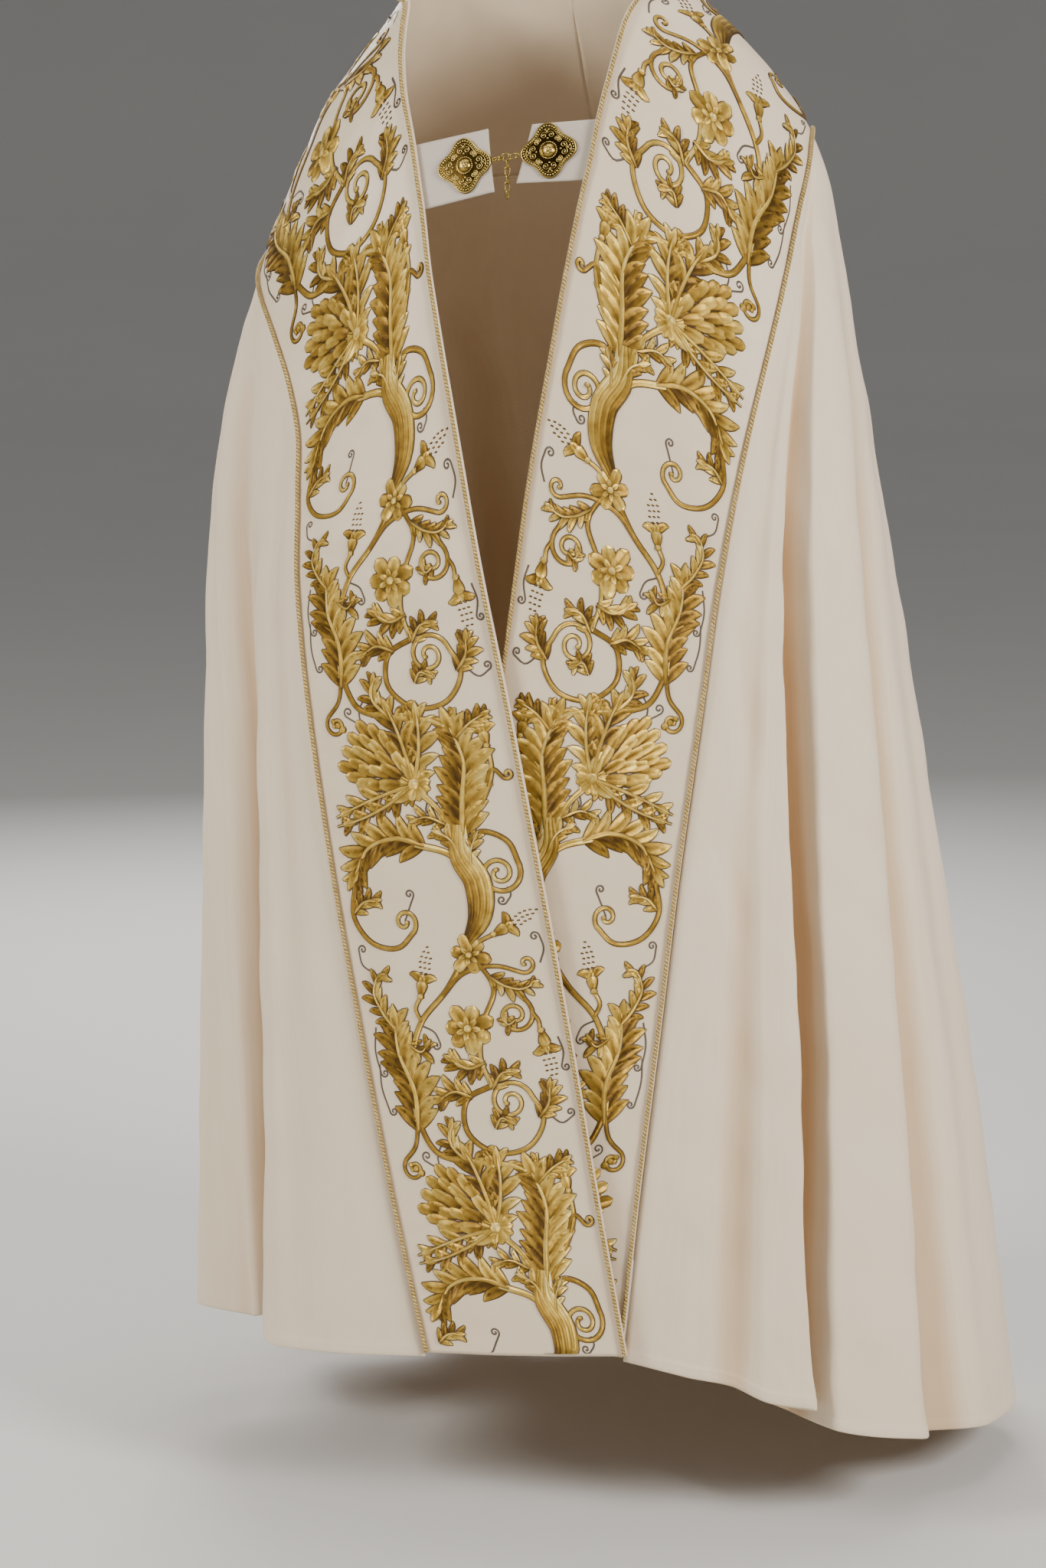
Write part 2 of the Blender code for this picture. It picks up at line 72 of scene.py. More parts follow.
# Clasp
PLATE_RADIUS = 0.0255
PLATE_LOBE = 0.0035
CHAIN_HEIGHT = 0.0012
WIRE_RADIUS = 0.0007
CHAIN_ROLL = -40.0
RIGHT_PLATE = (6.1, -0.1117)
LEFT_PLATE = (-10.3, -0.0970)

# Profiles of a plate's base and its middle boss: out as a share of the plate, height, and
# how lobed each is
PLATE_BASE = ((0.001, 0, 1), (1.0, 0, 1), (1.0, 0.0009, 1), (0.93, 0.0012, 1), (0.001, 0.0011, 1))
PLATE_BOSS = (
    (0.36, 0.0010, 0), (0.36, 0.0020, 0), (0.31, 0.0024, 0), (0.27, 0.0022, 0), (0.25, 0.0030, 0),
    (0.20, 0.0043, 0), (0.13, 0.0051, 0), (0.06, 0.0054, 0), (0.001, 0.0055, 0),
)
RIM_BEADS = 60
BOSS_BEADS = 26
CROWN_BEADS = 8

# Grid steps
FOLD_STEPS = 10
FALL_STEPS = 110
FALL_SPACING = 1.45
BAND_COLUMNS = 40
BAND_ROWS = 420
TAB_STEPS = 28
CORD_STEP = 0.0009
CORD_PITCH = 0.0075
CORD_SIDES = 10

# How near the embroidery comes to a band's ends and edges, in millimetres, and how far
# its rims sink into the cloth
HEM_MARGIN = 3.0
EDGE_MARGIN = 6.0
SUNK = 0.1

# How far apart two points lie where the form's direction is read
TURN_STEP = 0.3
HEIGHT_STEP = 0.003

# How far down the mantle its wall turns from the form's direction to the folds' own
FOLDS_START = 0.06
FOLDS_RUN = 0.20


def table(columns, rows):
    """A short table as one array for each named column."""
    return dict(zip(columns.split(), np.array(rows, dtype=float).T))


# The draped form at each height: half-widths to the wearer's right and left, and the
# depths of its front, middle and back. The square column fills out the corners.
LEVELS = table("height right left front middle back square", [
    (-1.450, .415, .465, -.220, .150, .530, .14),
    (-1.050, .395, .432, -.206, .110, .440, .14),
    (-0.700, .378, .388, -.195, .075, .350, .14),
    (-0.500, .368, .360, -.186, .056, .300, .14),
    (-0.340, .340, .334, -.174, .045, .262, .14),
    (-0.200, .300, .310, -.152, .036, .225, .13),
    (-0.100, .260, .287, -.124, .032, .190, .10),
    (-0.050, .236, .262, -.108, .030, .168, .08),
    (0.000, .197, .222, -.096, .030, .142, .05),
    (0.055, .154, .166, -.085, .030, .112, .02),
    (0.085, .134, .142, -.070, .030, .096, .00),
    (0.120, .118, .122, -.050, .030, .082, .00),
])

# The two edges of each band, from the back seam over the shoulder to the hem
RIGHT_BAND = table("along inner_turn inner_height outer_turn outer_height", [
    (0.00, 180.0, .088, 180.0, -.118),
    (0.09, 150.0, .084, 158.0, -.120),
    (0.18, 122.0, .076, 138.0, -.130),
    (0.27, 96.0, .068, 117.0, -.150),
    (0.36, 70.0, .060, 97.0, -.175),
    (0.44, 49.0, .050, 79.0, -.206),
    (0.51, 33.0, -.005, 62.0, -.233),
    (0.58, 22.0, -.062, 49.0, -.265),
    (0.66, 14.0, -.138, 39.0, -.312),
    (0.75, 8.8, -.226, 32.5, -.372),
    (0.85, 4.7, -.319, 30.3, -.440),
    (1.00, -0.4, -.470, 28.6, -.530),
    (1.14, -4.8, -.610, 25.8, -.650),
    (1.31, -9.2, -.780, 20.6, -.822),
    (1.48, -12.9, -.950, 15.2, -.992),
    (1.66, -16.2, -1.125, 9.8, -1.165),
    (1.84, -19.6, -1.297, 5.0, -1.312),
])
LEFT_BAND = table("along inner_turn inner_height outer_turn outer_height", [
    (0.00, 180.0, .088, 180.0, -.118),
    (0.09, 206.0, .086, 203.0, -.110),
    (0.18, 234.0, .080, 224.0, -.096),
    (0.27, 262.0, .074, 243.0, -.084),
    (0.36, 290.0, .066, 261.0, -.078),
    (0.44, 312.0, .055, 276.0, -.099),
    (0.51, 327.0, .020, 288.0, -.145),
    (0.58, 337.4, -.039, 296.5, -.207),
    (0.66, 342.6, -.115, 303.5, -.270),
    (0.75, 346.0, -.205, 309.6, -.335),
    (0.85, 348.8, -.300, 315.0, -.404),
    (1.00, 352.8, -.450, 321.5, -.520),
    (1.14, 356.0, -.605, 326.0, -.640),
    (1.31, 359.2, -.780, 331.3, -.805),
    (1.48, 362.0, -.950, 335.2, -.965),
    (1.66, 364.6, -1.125, 338.6, -1.130),
    (1.84, 367.2, -1.297, 341.2, -1.302),
])

# The mantle's hem, which rises to the front
HEM = table("turn height", [
    (0, -1.312), (20, -1.328), (40, -1.340), (60, -1.358), (90, -1.375), (135, -1.415),
    (180, -1.440), (225, -1.460), (262, -1.452), (285, -1.425), (300, -1.400), (315, -1.365),
    (328, -1.330), (345, -1.300),
])

# The mantle's folds, a row for each ridge (depth out) and valley (depth in), from the
# wearer's right front round the back to the left front. Round says where a row stands
# between the two front seams, 0 to 1, at the shoulders and at the hem. The depths are a
# fifth of the way down, half-way and at the hem. Lean tips the row round, in degrees.
FOLDS = table("shoulder_round hem_round upper_depth middle_depth hem_depth lean", [
    (.000, .000, .000, .000, .000, 0.0),
    (.004, .040, .000, .002, .003, 0.0),
    (.008, .071, .000, .006, .004, 0.0),
    (.040, .110, -.008, -.045, -.100, 13.0),
    (.080, .152, -.010, -.065, -.120, 15.0),
    (.125, .187, .002, -.020, -.056, -3.0),
    (.150, .205, .005, .014, .012, -1.0),
    (.185, .236, .006, .026, .032, 0.0),
    (.240, .285, -.006, -.028, -.060, 0.0),
    (.300, .332, .004, .018, .032, 0.0),
    (.350, .375, -.005, -.022, -.038, 0.0),
    (.395, .413, .004, .016, .026, 0.0),
    (.440, .450, -.006, -.026, -.050, 0.0),
    (.490, .494, .005, .018, .032, 0.0),
    (.532, .532, -.004, -.018, -.034, 0.0),
    (.572, .570, .004, .014, .026, 0.0),
    (.615, .612, -.006, -.028, -.050, 0.0),
    (.660, .655, .005, .018, .032, 0.0),
    (.705, .700, -.004, -.020, -.038, 0.0),
    (.752, .745, .000, -.002, .014, 0.0),
    (.800, .795, -.002, -.010, .004, 0.0),
    (.842, .834, -.004, -.022, -.030, 0.0),
    (.885, .868, .002, .008, .014, 0.0),
    (.934, .902, .001, .006, .006, 3.0),
    (.943, .911, -.020, -.050, -.058, 4.5),
    (.952, .920, -.020, -.050, -.058, 4.5),
    (.966, .931, .001, .004, .004, -3.0),
    (.973, .944, .002, .005, .008, 0.0),
    (.980, .957, .000, -.003, -.010, 0.0),
    (.988, .976, .000, .001, .004, 0.0),
    (1.00, 1.00, .000, .000, .000, 0.0),
])
DEPTH_STOPS = (0.0, 0.2, 0.55, 1.0)

# The corners of the two tabs: near ones over the opening, far ones behind the band
RIGHT_TAB = table("turn height", [
    (19.2, -.0908), (2.3, -.0748), (-0.5, -.1367), (14.2, -.1557),
])
LEFT_TAB = table("turn height", [
    (-21.0, -.0655), (-6.8, -.0706), (-4.4, -.1284), (-18.2, -.1250),
])

# The chain between the plates, then its free end: half-lengths and half-widths of each
# oval of wire, at the middle of the wire
CHAIN = {
    "eye_right": (.0020, .0020),
    "link_1": (.0029, .0021),
    "link_2": (.0029, .0021),
    "ring_right": (.0044, .0044),
    "ring_left": (.0047, .0047),
    "eye_left": (.0020, .0020),
}
TAIL_LINKS = 5
TAIL_LINK = (.0046, .0024)
TAIL_CLEARANCE = 0.0004
EYE_REACH = 0.0030

# The mantle's creases: soft troughs and ridges from one place on its folds to another
CREASES = table("fold_from down_from fold_to down_to depth width", [
    (29.2, .40, 27.2, .54, -.0035, .014),
    (29.3, .47, 27.0, .62, .0030, .016),
    (29.4, .55, 27.4, .66, -.0028, .012),
    (28.8, .66, 27.0, .78, -.0022, .016),
    (29.5, .30, 27.6, .41, -.0024, .016),
    (24.9, .22, 22.4, .36, -.0030, .020),
    (25.8, .10, 24.6, .26, -.0026, .016),
    (22.6, .14, 20.8, .30, .0030, .022),
    (20.9, .30, 19.6, .50, -.0024, .024),
    (1.2, .20, 3.0, .34, -.0028, .016),
    (1.0, .36, 2.8, .50, -.0026, .018),
    (1.0, .58, 2.4, .70, .0022, .018),
    (5.2, .10, 6.6, .24, -.0030, .018),
    (6.4, .22, 7.6, .42, -.0026, .020),
    (7.4, .06, 8.8, .20, .0030, .020),
    (9.0, .28, 10.6, .46, -.0026, .022),
    (11.2, .08, 12.4, .24, -.0030, .020),
    (12.2, .40, 13.6, .56, -.0024, .022),
    (14.6, .12, 13.4, .30, -.0028, .020),
    (15.8, .34, 14.8, .52, .0026, .022),
    (17.4, .10, 16.2, .28, -.0030, .020),
    (18.8, .26, 17.6, .46, -.0026, .022),
    (3.6, .66, 5.2, .80, -.0022, .020),
    (24.4, .58, 23.0, .74, -.0022, .022),
    (28.2, .16, 27.8, .97, -.0096, .026),
    (27.1, .10, 26.5, .90, .0080, .022),
    (26.1, .06, 25.7, .96, -.0096, .024),
    (25.2, .12, 24.9, .94, .0072, .022),
    (24.2, .05, 24.0, .97, -.0088, .026),
    (22.9, .10, 22.7, .92, .0072, .028),
    (21.7, .06, 21.6, .97, -.0096, .028),
    (19.9, .10, 19.8, .94, -.0080, .030),
    (18.1, .06, 18.2, .97, .0080, .028),
    (16.6, .08, 16.4, .96, -.0096, .030),
    (14.9, .06, 15.1, .95, .0072, .030),
    (13.2, .10, 13.0, .97, -.0096, .028),
    (11.5, .06, 11.7, .93, .0080, .030),
    (9.7, .08, 9.6, .97, -.0088, .028),
    (8.1, .06, 8.2, .95, .0072, .026),
    (6.7, .10, 6.6, .97, -.0096, .026),
    (5.1, .08, 5.3, .94, .0072, .024),
    (3.9, .12, 3.8, .97, -.0080, .022),
    (2.6, .14, 2.7, .95, .0064, .020),
    (1.5, .20, 1.6, .97, -.0064, .018),
])

# How many columns a fold's valley is compared with, and the depth of a full valley, for the painted shade in
# the mantle's valleys
VALLEY_COLUMNS = 25
VALLEY_DEPTH = 0.012

# The turned hem, and the rounding of cloth edges
HEM_DEPTH = 0.013
HEM_RISE = 0.0009
EDGE_ROUND = 0.0009
EDGE_RUN = 0.0016

# Rows close to the hem that draw its fold and its edge
HEM_ROWS = 1 - np.array([.012, .0095, .0088, .0080, .004, .0012, 0])

# Embroidery drawn flat, in millimetres: X across the band from its inner edge, Y up it
REPEAT = 457.0
FLOWER_UP = 370.0
FIRST_FLOWER = 160.0
OUTLINE = 1.0
ACROSS = np.array([-1.0, -0.62, 0.0, 0.62, 1.0])

# The palmette's leaves: angle, length, width and bend. Its rows of scales: how far out each
# row stands, how many scales it has and the angle they spread over.
PALMETTE_LEAVES = ((94, .86, .22, -30), (66, .96, .23, -20), (-32, 1.02, .19, -8), (-56, 1.06, .18, 30))
PALMETTE_SCALES = ((.66, 4, 34), (.54, 5, 46), (.42, 5, 56), (.29, 4, 62), (.16, 3, 60))

# Cloth colours, each from its darker shade to its lighter one, and thread spacings
WOOL_SHADES = (0.79, 0.640, 0.460), (0.87, 0.745, 0.570)
SATIN_SHADES = (0.75, 0.60, 0.425), (0.83, 0.70, 0.52)
TAB_SHADES = (0.50, 0.43, 0.35), (0.58, 0.51, 0.43)
WOOL_THREAD = 0.0011
SATIN_THREAD = 0.0007
WOOL_SLANT = 0.8

# How strongly, and to which warm colour, painted shade darkens the mantle's valleys and creases
VALLEY_SHADE_STRENGTH = 0.85
VALLEY_SHADE_COLOUR = (0.74, 0.61, 0.47)

# Thread and metal colours, from dark to light, each with its place on the scale of tones
OUTLINE_COLOUR = (0.060, 0.028, 0.007)
GOLD_STOPS = [
    (0.05, (0.10, 0.048, 0.006)),
    (0.36, (0.36, 0.205, 0.024)),
    (0.66, (0.70, 0.47, 0.090)),
    (1.0, (0.96, 0.82, 0.36)),
]
CORD_STOPS = [(0.0, (0.30, 0.165, 0.03)), (0.5, (0.60, 0.41, 0.12)), (1.0, (0.84, 0.71, 0.38))]
TENDRIL_STOPS = [(0.0, (0.11, 0.08, 0.055)), (1.0, (0.16, 0.12, 0.08))]
METAL_STOPS = [
    (0.10, (0.020, 0.012, 0.003)),
    (0.45, (0.09, 0.052, 0.010)),
    (0.75, (0.36, 0.24, 0.052)),
    (1.0, (0.66, 0.50, 0.17)),
]

# Stitches: their spacing, the dark outline's width, and how far in from a rim the painted shade
# reaches. A negative outline width draws none.
STITCH_SPACING = 0.00055
OUTLINE_WIDTH = 0.0010
NO_OUTLINE = -2.0
RIM_SHADE_WIDTH = 0.0026

# The camera, the floor and the lights
CAMERA_TURN = 20.0
CAMERA_PITCH = 8.9
CAMERA_LENS = 85.0
CAMERA_DISTANCE = 3.85
CAMERA_HEIGHT = -0.15
CAMERA_SHIFT = -0.014
FLOOR_HEIGHT = -1.50
SURROUND_COLOUR = (0.62, 0.61, 0.60, 1.0)
SURROUND_STRENGTH = 0.42
LIGHTS_AIM = (0, 0, -0.7)

# Each light's place, size, power and colour
LIGHTS = [
    ("key_light", (-2.7, -2.7, 1.2), 1.3, 140.0, (1.0, 0.97, 0.92)),
    ("side_light", (3.3, -1.6, 0.9), 1.2, 162.0, (1.0, 0.97, 0.93)),
    ("top_light", (0.2, 0.6, 2.6), 2.0, 40.0, (1.0, 0.98, 0.96)),
    ("back_light", (-1.8, 3.2, 0.9), 1.6, 110.0, (1.0, 0.98, 0.96)),
]

# The floor's sweep: how far out and how high it runs
SWEEP = table("out rise", [
    (0.02, 0.0),
    (12.0, 0.0),
    (16.0, 0.25),
    (20.0, 1.2),
    (23.0, 3.2),
    (24.0, 7.0),
])


def smooth_step(share):
    share = np.clip(share, 0.0, 1.0)
    return share * share * (3 - 2 * share)


def hermite(share, run, start, end, start_slope, end_slope):
    """A cubic from one value and slope to the next, over a run."""
    rest = 1 - share
    leaving = rest**2 * ((1 + 2 * share) * start + share * run * start_slope)
    arriving = share**2 * ((3 - 2 * share) * end - rest * run * end_slope)
    return leaving + arriving


def follow(where, stops, values):
    """A smooth curve through values at rising stops, read at where."""
    stops = np.asarray(stops, float)
    values = np.asarray(values, float)
    slopes = np.diff(values) / np.diff(stops)
    runs = np.diff(stops)
    middle = (slopes[:-1] * runs[1:] + slopes[1:] * runs[:-1]) / (runs[1:] + runs[:-1])
    tangents = np.concatenate([slopes[:1], middle, slopes[-1:]])
    first = np.clip(np.searchsorted(stops, where, side="right") - 1, 0, len(stops) - 2)
    run = runs[first]
    share = np.clip((where - stops[first]) / run, -0.5, 1.5)
    return hermite(share, run, values[first], values[first + 1], tangents[first], tangents[first + 1])


def form(turn, height):
    """The draped form's point at a turn and a height."""
    level = {name: follow(height, LEVELS["height"], LEVELS[name]) for name in LEVELS}
    sine = np.sin(np.radians(turn))
    cosine = np.cos(np.radians(turn))
    half_width = np.where(sine > 0, level["right"], level["left"])
    half_depth = np.where(cosine > 0, level["middle"] - level["front"], level["back"] - level["middle"])
    x = -half_width * sine * (1 + level["square"] * cosine**2)
    y = level["middle"] - half_depth * cosine * (1 + level["square"] * sine**2)
    return np.stack([x, y, height + 0 * x], axis=-1)


def form_normal(turn, height):
    """The form's outward direction, from points a little to each side."""
    across = form(turn + TURN_STEP, height) - form(turn - TURN_STEP, height)
    along = form(turn, height + HEIGHT_STEP) - form(turn, height - HEIGHT_STEP)
    normal = np.cross(along, across)
    return normal / np.linalg.norm(normal, axis=-1, keepdims=True)


def lap(turn, height):
    """How far the fronts stand off the form: the right one outward, the left one inward."""
    from_front = np.abs((turn + 180) % 360 - 180)
    down = smooth_step((LAP_TOP - height) / LAP_RUN)
    round_front = 1 - smooth_step((from_front - LAP_FULL_TURN) / LAP_FADE_TURN)
    return LAP * down * round_front


def place(turn, height, out, side):
    """A point of the cloth, out from the form. Side is 1 for the right front, -1 for the left."""
    turn, height, out = np.broadcast_arrays(turn, height, out)
    lift = (out + side * lap(turn, height))[..., None]
    return form(turn, height) + form_normal(turn, height) * lift


def band_spot(band, along, across):
    """Turn and height on a band, across it from 0 at the inner edge to 1 at the outer."""
    edge = {name: follow(along, band["along"], band[name]) for name in band}
    turn = edge["inner_turn"] * (1 - across) + edge["outer_turn"] * across
    height = edge["inner_height"] * (1 - across) + edge["outer_height"] * across
    return turn, height


def mantle_spot(fold, down):
    """Turn, height, depth and side on the mantle. Fold counts the rows of FOLDS, down goes
    from 0 at the shoulders to 1 at the hem."""
    row = np.clip(np.floor(fold).astype(int), 0, len(FOLDS["lean"]) - 2)
    share = fold - row
    blend = smooth_step(share)
    shoulder_round = FOLDS["shoulder_round"][row] * (1 - share) + FOLDS["shoulder_round"][row + 1] * share
    hem_round = FOLDS["hem_round"][row] * (1 - share) + FOLDS["hem_round"][row + 1] * share
    round_ = shoulder_round * (1 - down) + hem_round * down
    upper, middle, hem = (FOLDS[name][row] * (1 - blend) + FOLDS[name][row + 1] * blend
                          for name in ("upper_depth", "middle_depth", "hem_depth"))
    depth = depth_down(down, upper, middle, hem)
    lean = (FOLDS["lean"][row] * (1 - blend) + FOLDS["lean"][row + 1] * blend) * down**2
    turn, height = between_seams(round_, down)
    return turn + lean, height, depth, np.where(turn < 180, 1, -1)


def depth_down(down, upper, middle, hem):
    """A fold's depth from nothing at the shoulders, by way of its three depths."""
    stops = np.array(DEPTH_STOPS)
    values = [0 * upper, upper, middle, hem]
    slopes = [(values[i + 1] - values[i]) / (stops[i + 1] - stops[i]) for i in range(3)]
    tangents = [slopes[0], (slopes[0] + slopes[1]) / 2, (slopes[1] + slopes[2]) / 2, slopes[2]]
    depth = 0 * upper
    for i in range(3):
        run = stops[i + 1] - stops[i]
        share = (down - stops[i]) / run
        piece = hermite(share, run, values[i], values[i + 1], tangents[i], tangents[i + 1])
        last = down <= 1 if i == 2 else down < stops[i + 1]
        depth = np.where((down >= stops[i]) & last, piece, depth)
    return depth


def between_seams(round_, down):
    """The mantle before its folds: blended between the band seams, the neck and the hem."""
    edge = 1 + SEAM_GAP / BAND_WIDTH
    right = band_spot(RIGHT_BAND, RIGHT_SHOULDER + (BAND_END - RIGHT_SHOULDER) * down, edge)
    left = band_spot(LEFT_BAND, LEFT_SHOULDER + (BAND_END - LEFT_SHOULDER) * down, edge)
    run = round_ * (RIGHT_SHOULDER + LEFT_SHOULDER)
    over_right = band_spot(RIGHT_BAND, np.clip(RIGHT_SHOULDER - run, 0, None), edge)
    over_left = band_spot(LEFT_BAND, np.clip(run - RIGHT_SHOULDER, 0, None), edge)
    corners = [band_spot(RIGHT_BAND, np.array(along), edge) for along in (RIGHT_SHOULDER, BAND_END)]
    corners += [band_spot(LEFT_BAND, np.array(along), edge) for along in (LEFT_SHOULDER, BAND_END)]
    hem_turn = corners[1][0] + (corners[3][0] - corners[1][0]) * round_
    hem = (hem_turn, follow(hem_turn, HEM["turn"], HEM["height"]))
    spot = []
    for part in (0, 1):
        top = np.where(run < RIGHT_SHOULDER, over_right[part], over_left[part])
        sides = (1 - round_) * right[part] + round_ * left[part]
        rows = (1 - down) * top + down * hem[part]
        ends = ((1 - round_) * ((1 - down) * corners[0][part] + down * corners[1][part])
                + round_ * ((1 - down) * corners[2][part] + down * corners[3][part]))
        spot.append(sides + rows - ends)
    return spot


def fall(row):
    """How far down from the shoulders a grid row lies, with the upper rows closer."""
    return (row / FALL_STEPS) ** FALL_SPACING


def start_mesh():
    """An empty bmesh whose points carry a pattern: across, along and tone."""
    bm = bmesh.new()
    bm.verts.layers.float_vector.new("pattern")
    return bm


def fill_grid(bm, spots, pattern):
    """A grid of faces through rows and columns of points, each with its pattern value."""
    layer = bm.verts.layers.float_vector["pattern"]
    grid = bmesh.ops.create_grid(bm, x_segments=spots.shape[1] - 1, y_segments=spots.shape[0] - 1, size=0.5)
    pattern = np.broadcast_to(pattern, spots.shape)
    for vert, spot, value in zip(grid["verts"], spots.reshape(-1, 3), pattern.reshape(-1, 3)):
        vert.co = spot
        vert[layer] = value
    return grid["verts"]


def dress(name, bm, material, body="root", nodes=()):
    """Makes a smooth-shaded piece of a bmesh, and gives it its material, slot and body."""
    mesh = bpy.data.meshes.new(name)
    bm.to_mesh(mesh)
    bm.free()
    mesh.shade_smooth()
    mesh.materials.append(material)
    piece = bpy.data.objects.new(name, mesh)
    bpy.context.scene.collection.objects.link(piece)
    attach(piece, body)
    if nodes:
        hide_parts(*nodes)
    return piece


def shell(name, spots, normals, wall, pattern, material, nodes):
    """A thin cloth wall round a grid of mid-wall points. Wall is its thickness at each point."""
    bm = start_mesh()
    for side in (0.5, -0.5):
        fill_grid(bm, spots + normals * (wall * side)[..., None], pattern)
    bmesh.ops.bridge_loops(bm, edges=[edge for edge in bm.edges if edge.is_boundary])
    bmesh.ops.recalc_face_normals(bm, faces=bm.faces[:])
    return dress(name, bm, material, nodes=nodes)


def surface_normals(spots):
    normals = np.cross(np.gradient(spots, axis=1), np.gradient(spots, axis=0))
    return normals / np.linalg.norm(normals, axis=-1, keepdims=True)


def run_lengths(spots, axis):
    """Metres along the rows or columns of a grid of points, from its first one."""
    steps = np.linalg.norm(np.diff(spots, axis=axis), axis=-1)
    start = np.zeros_like(np.take(steps, [0], axis=axis))
    return np.concatenate([start, np.cumsum(steps, axis=axis)], axis=axis)


def ripples(x, y, size, seed):
    """A gentle uneven ripple, between about -1 and 1."""
    total = 0 * x
    for wave in range(5):
        turn = seed * 1.7 + wave * 2.4
        stretch = size * (0.7 + 0.23 * wave)
        way = x * math.cos(turn) + y * math.sin(turn)
        total = total + np.sin(way * 2 * math.pi / stretch + seed + wave * wave)
    return total / 3.2


def crease_lift(spots, fold, down):
    """How far the creases move each point of the mantle out or in."""
    lift = np.zeros(spots.shape[:2])
    folds = fold[0]
    downs = down[:, 0]
    for row in range(len(CREASES["width"])):
        at = {name: CREASES[name][row] for name in CREASES}
        ends = []
        for end in ("from", "to"):
            column = int(np.argmin(np.abs(folds - at["fold_" + end])))
            line = int(np.argmin(np.abs(downs - at["down_" + end])))
            ends.append(spots[line, column])
        ahead = ends[1] - ends[0]
        share = np.clip((spots - ends[0]) @ ahead / (ahead @ ahead), 0, 1)
        gap = np.linalg.norm(spots - ends[0] - share[..., None] * ahead, axis=-1)
        fade = np.sin(math.pi * np.clip(share * 0.9 + 0.05, 0, 1)) ** 0.7
        lift += at["depth"] * fade * np.exp(-(gap / at["width"]) ** 2)
    return lift


def valley_shade_share(relief):
    """How far each point lies below the cloth near it, from -1 on a ridge to 1 in a valley, which sets the
    painted valley shade.
    """
    side = VALLEY_COLUMNS // 2
    even = np.full(VALLEY_COLUMNS, 1 / VALLEY_COLUMNS)
    near = np.array([np.convolve(np.pad(row, side, mode="edge"), even, "valid") for row in relief])
    return np.clip((near - relief) / VALLEY_DEPTH, -1, 1)


def add_mantle():
    rows = np.sort(np.concatenate([fall(np.arange(FALL_STEPS)), HEM_ROWS]))
    fold, down = np.meshgrid(np.arange((len(FOLDS["lean"]) - 1) * FOLD_STEPS + 1) / FOLD_STEPS, rows)
    turn, height, depth, side = mantle_spot(fold, down)
    spots = place(turn, height, depth, side)
    share = smooth_step((down - FOLDS_START) / FOLDS_RUN)[..., None]
    from_front = np.minimum(fold, len(FOLDS["lean"]) - 1 - fold)
    inside = smooth_step(from_front / 1.2)
    share = share * smooth_step(from_front / 0.3)[..., None]
    normals = surface_normals(spots) * share + form_normal(turn, height) * (1 - share)
    normals /= np.linalg.norm(normals, axis=-1, keepdims=True)
    across = run_lengths(spots, 1)
    along = run_lengths(spots, 0)
    soft = ripples(across, along, 0.16, 1.0) * 0.0012 + ripples(across, along, 0.06, 4.0) * 0.0003
    calm = inside * smooth_step(down / 0.05) * smooth_step((1 - down) / 0.02)
    lift = crease_lift(spots, fold, down) * calm
    spots = spots + normals * (lift + soft * calm)[..., None]
    to_hem = along[-1] - along
    wall = MANTLE_WALL + HEM_RISE * smooth_step((HEM_DEPTH - to_hem) / 0.0012)
    wall = wall - EDGE_ROUND * smooth_step((EDGE_RUN - to_hem) / EDGE_RUN) * 1.6
    # The third value sets the painted shade that darkens the mantle's valleys and creases
    pattern = np.stack([across, to_hem, valley_shade_share(depth + lift)], axis=-1)
    mantle = shell("mantle_cloth", spots, normals, wall, pattern, wool(), ["mantle"])


class Band:
    """One front band: its table, and the way from flat embroidery to places on it."""
    def __init__(self, name, edges, side):
        self.name = name
        self.edges = edges
        self.side = side
        along = np.linspace(SEAM_GAP / 2, BAND_END, BAND_ROWS)
        middle = self.spot(along, 0.5 + 0 * along, 0.0)
        self.along = along
        self.lengths = run_lengths(middle, 0)
        self.length = self.lengths[-1]

    def spot(self, along, across, lift):
        turn, height = band_spot(self.edges, along, across)
        return place(turn, height, lift, self.side)

    def normal(self, along, across):
        return form_normal(*band_spot(self.edges, along, across))

    def pucker(self, length, across):
        """The satin's own waves between the stitches, in metres."""
        run = across * BAND_WIDTH
        calm = smooth_step(across / 0.06) * smooth_step((1 - across) / 0.06)
        waves = ripples(run, length, 0.045, 2.0 + self.side) * 0.00045
        waves = waves + ripples(run * 0.25, length, 0.030, 6.0) * 0.00030 * smooth_step((across - 0.55) / 0.3)
        return waves * calm

    def lay(self, flat, rise):
        """Places for flat embroidery points, in millimetres from the hem end's inner corner."""
        across = flat[..., 0] / (BAND_WIDTH * 1000)
        length = self.length - flat[..., 1] / 1000
        along = np.interp(length, self.lengths, self.along)
        lift = BAND_WALL / 2 + self.pucker(length, across) + rise / 1000
        return self.spot(along, across, lift)


def add_band(band):
    across, along = np.meshgrid(np.linspace(0, 1, BAND_COLUMNS + 1), band.along)
    normals = band.normal(along, across)
    length = np.interp(along, band.along, band.lengths)
    spots = band.spot(along, across, 0.0) + normals * band.pucker(length, across)[..., None]
    rim = np.minimum(across, 1 - across) * BAND_WIDTH
    wall = BAND_WALL - EDGE_ROUND * (1 - smooth_step(rim / 0.004))
    pattern = np.stack([across * BAND_WIDTH, length, 0 * length], axis=-1)
    return shell(f"band_{band.name}", spots, normals, wall, pattern, satin_cloth(),
                 [f"orphrey_{band.name}"])


def fill_strips(bm, spots, patterns):
    """Strips of equal width, made as one grid and then parted between one and the next."""
    columns = spots[0].shape[1]
    verts = fill_grid(bm, np.concatenate(spots), np.concatenate(patterns))
    gaps = []
    for row in np.cumsum([len(strip) for strip in spots])[:-1]:
        for column in range(columns - 1):
            near = verts[(row - 1) * columns + column]
            far = verts[row * columns + column + 1]
            gaps += [face for face in near.link_faces if far in face.verts[:]]
    bmesh.ops.delete(bm, geom=gaps, context="FACES")


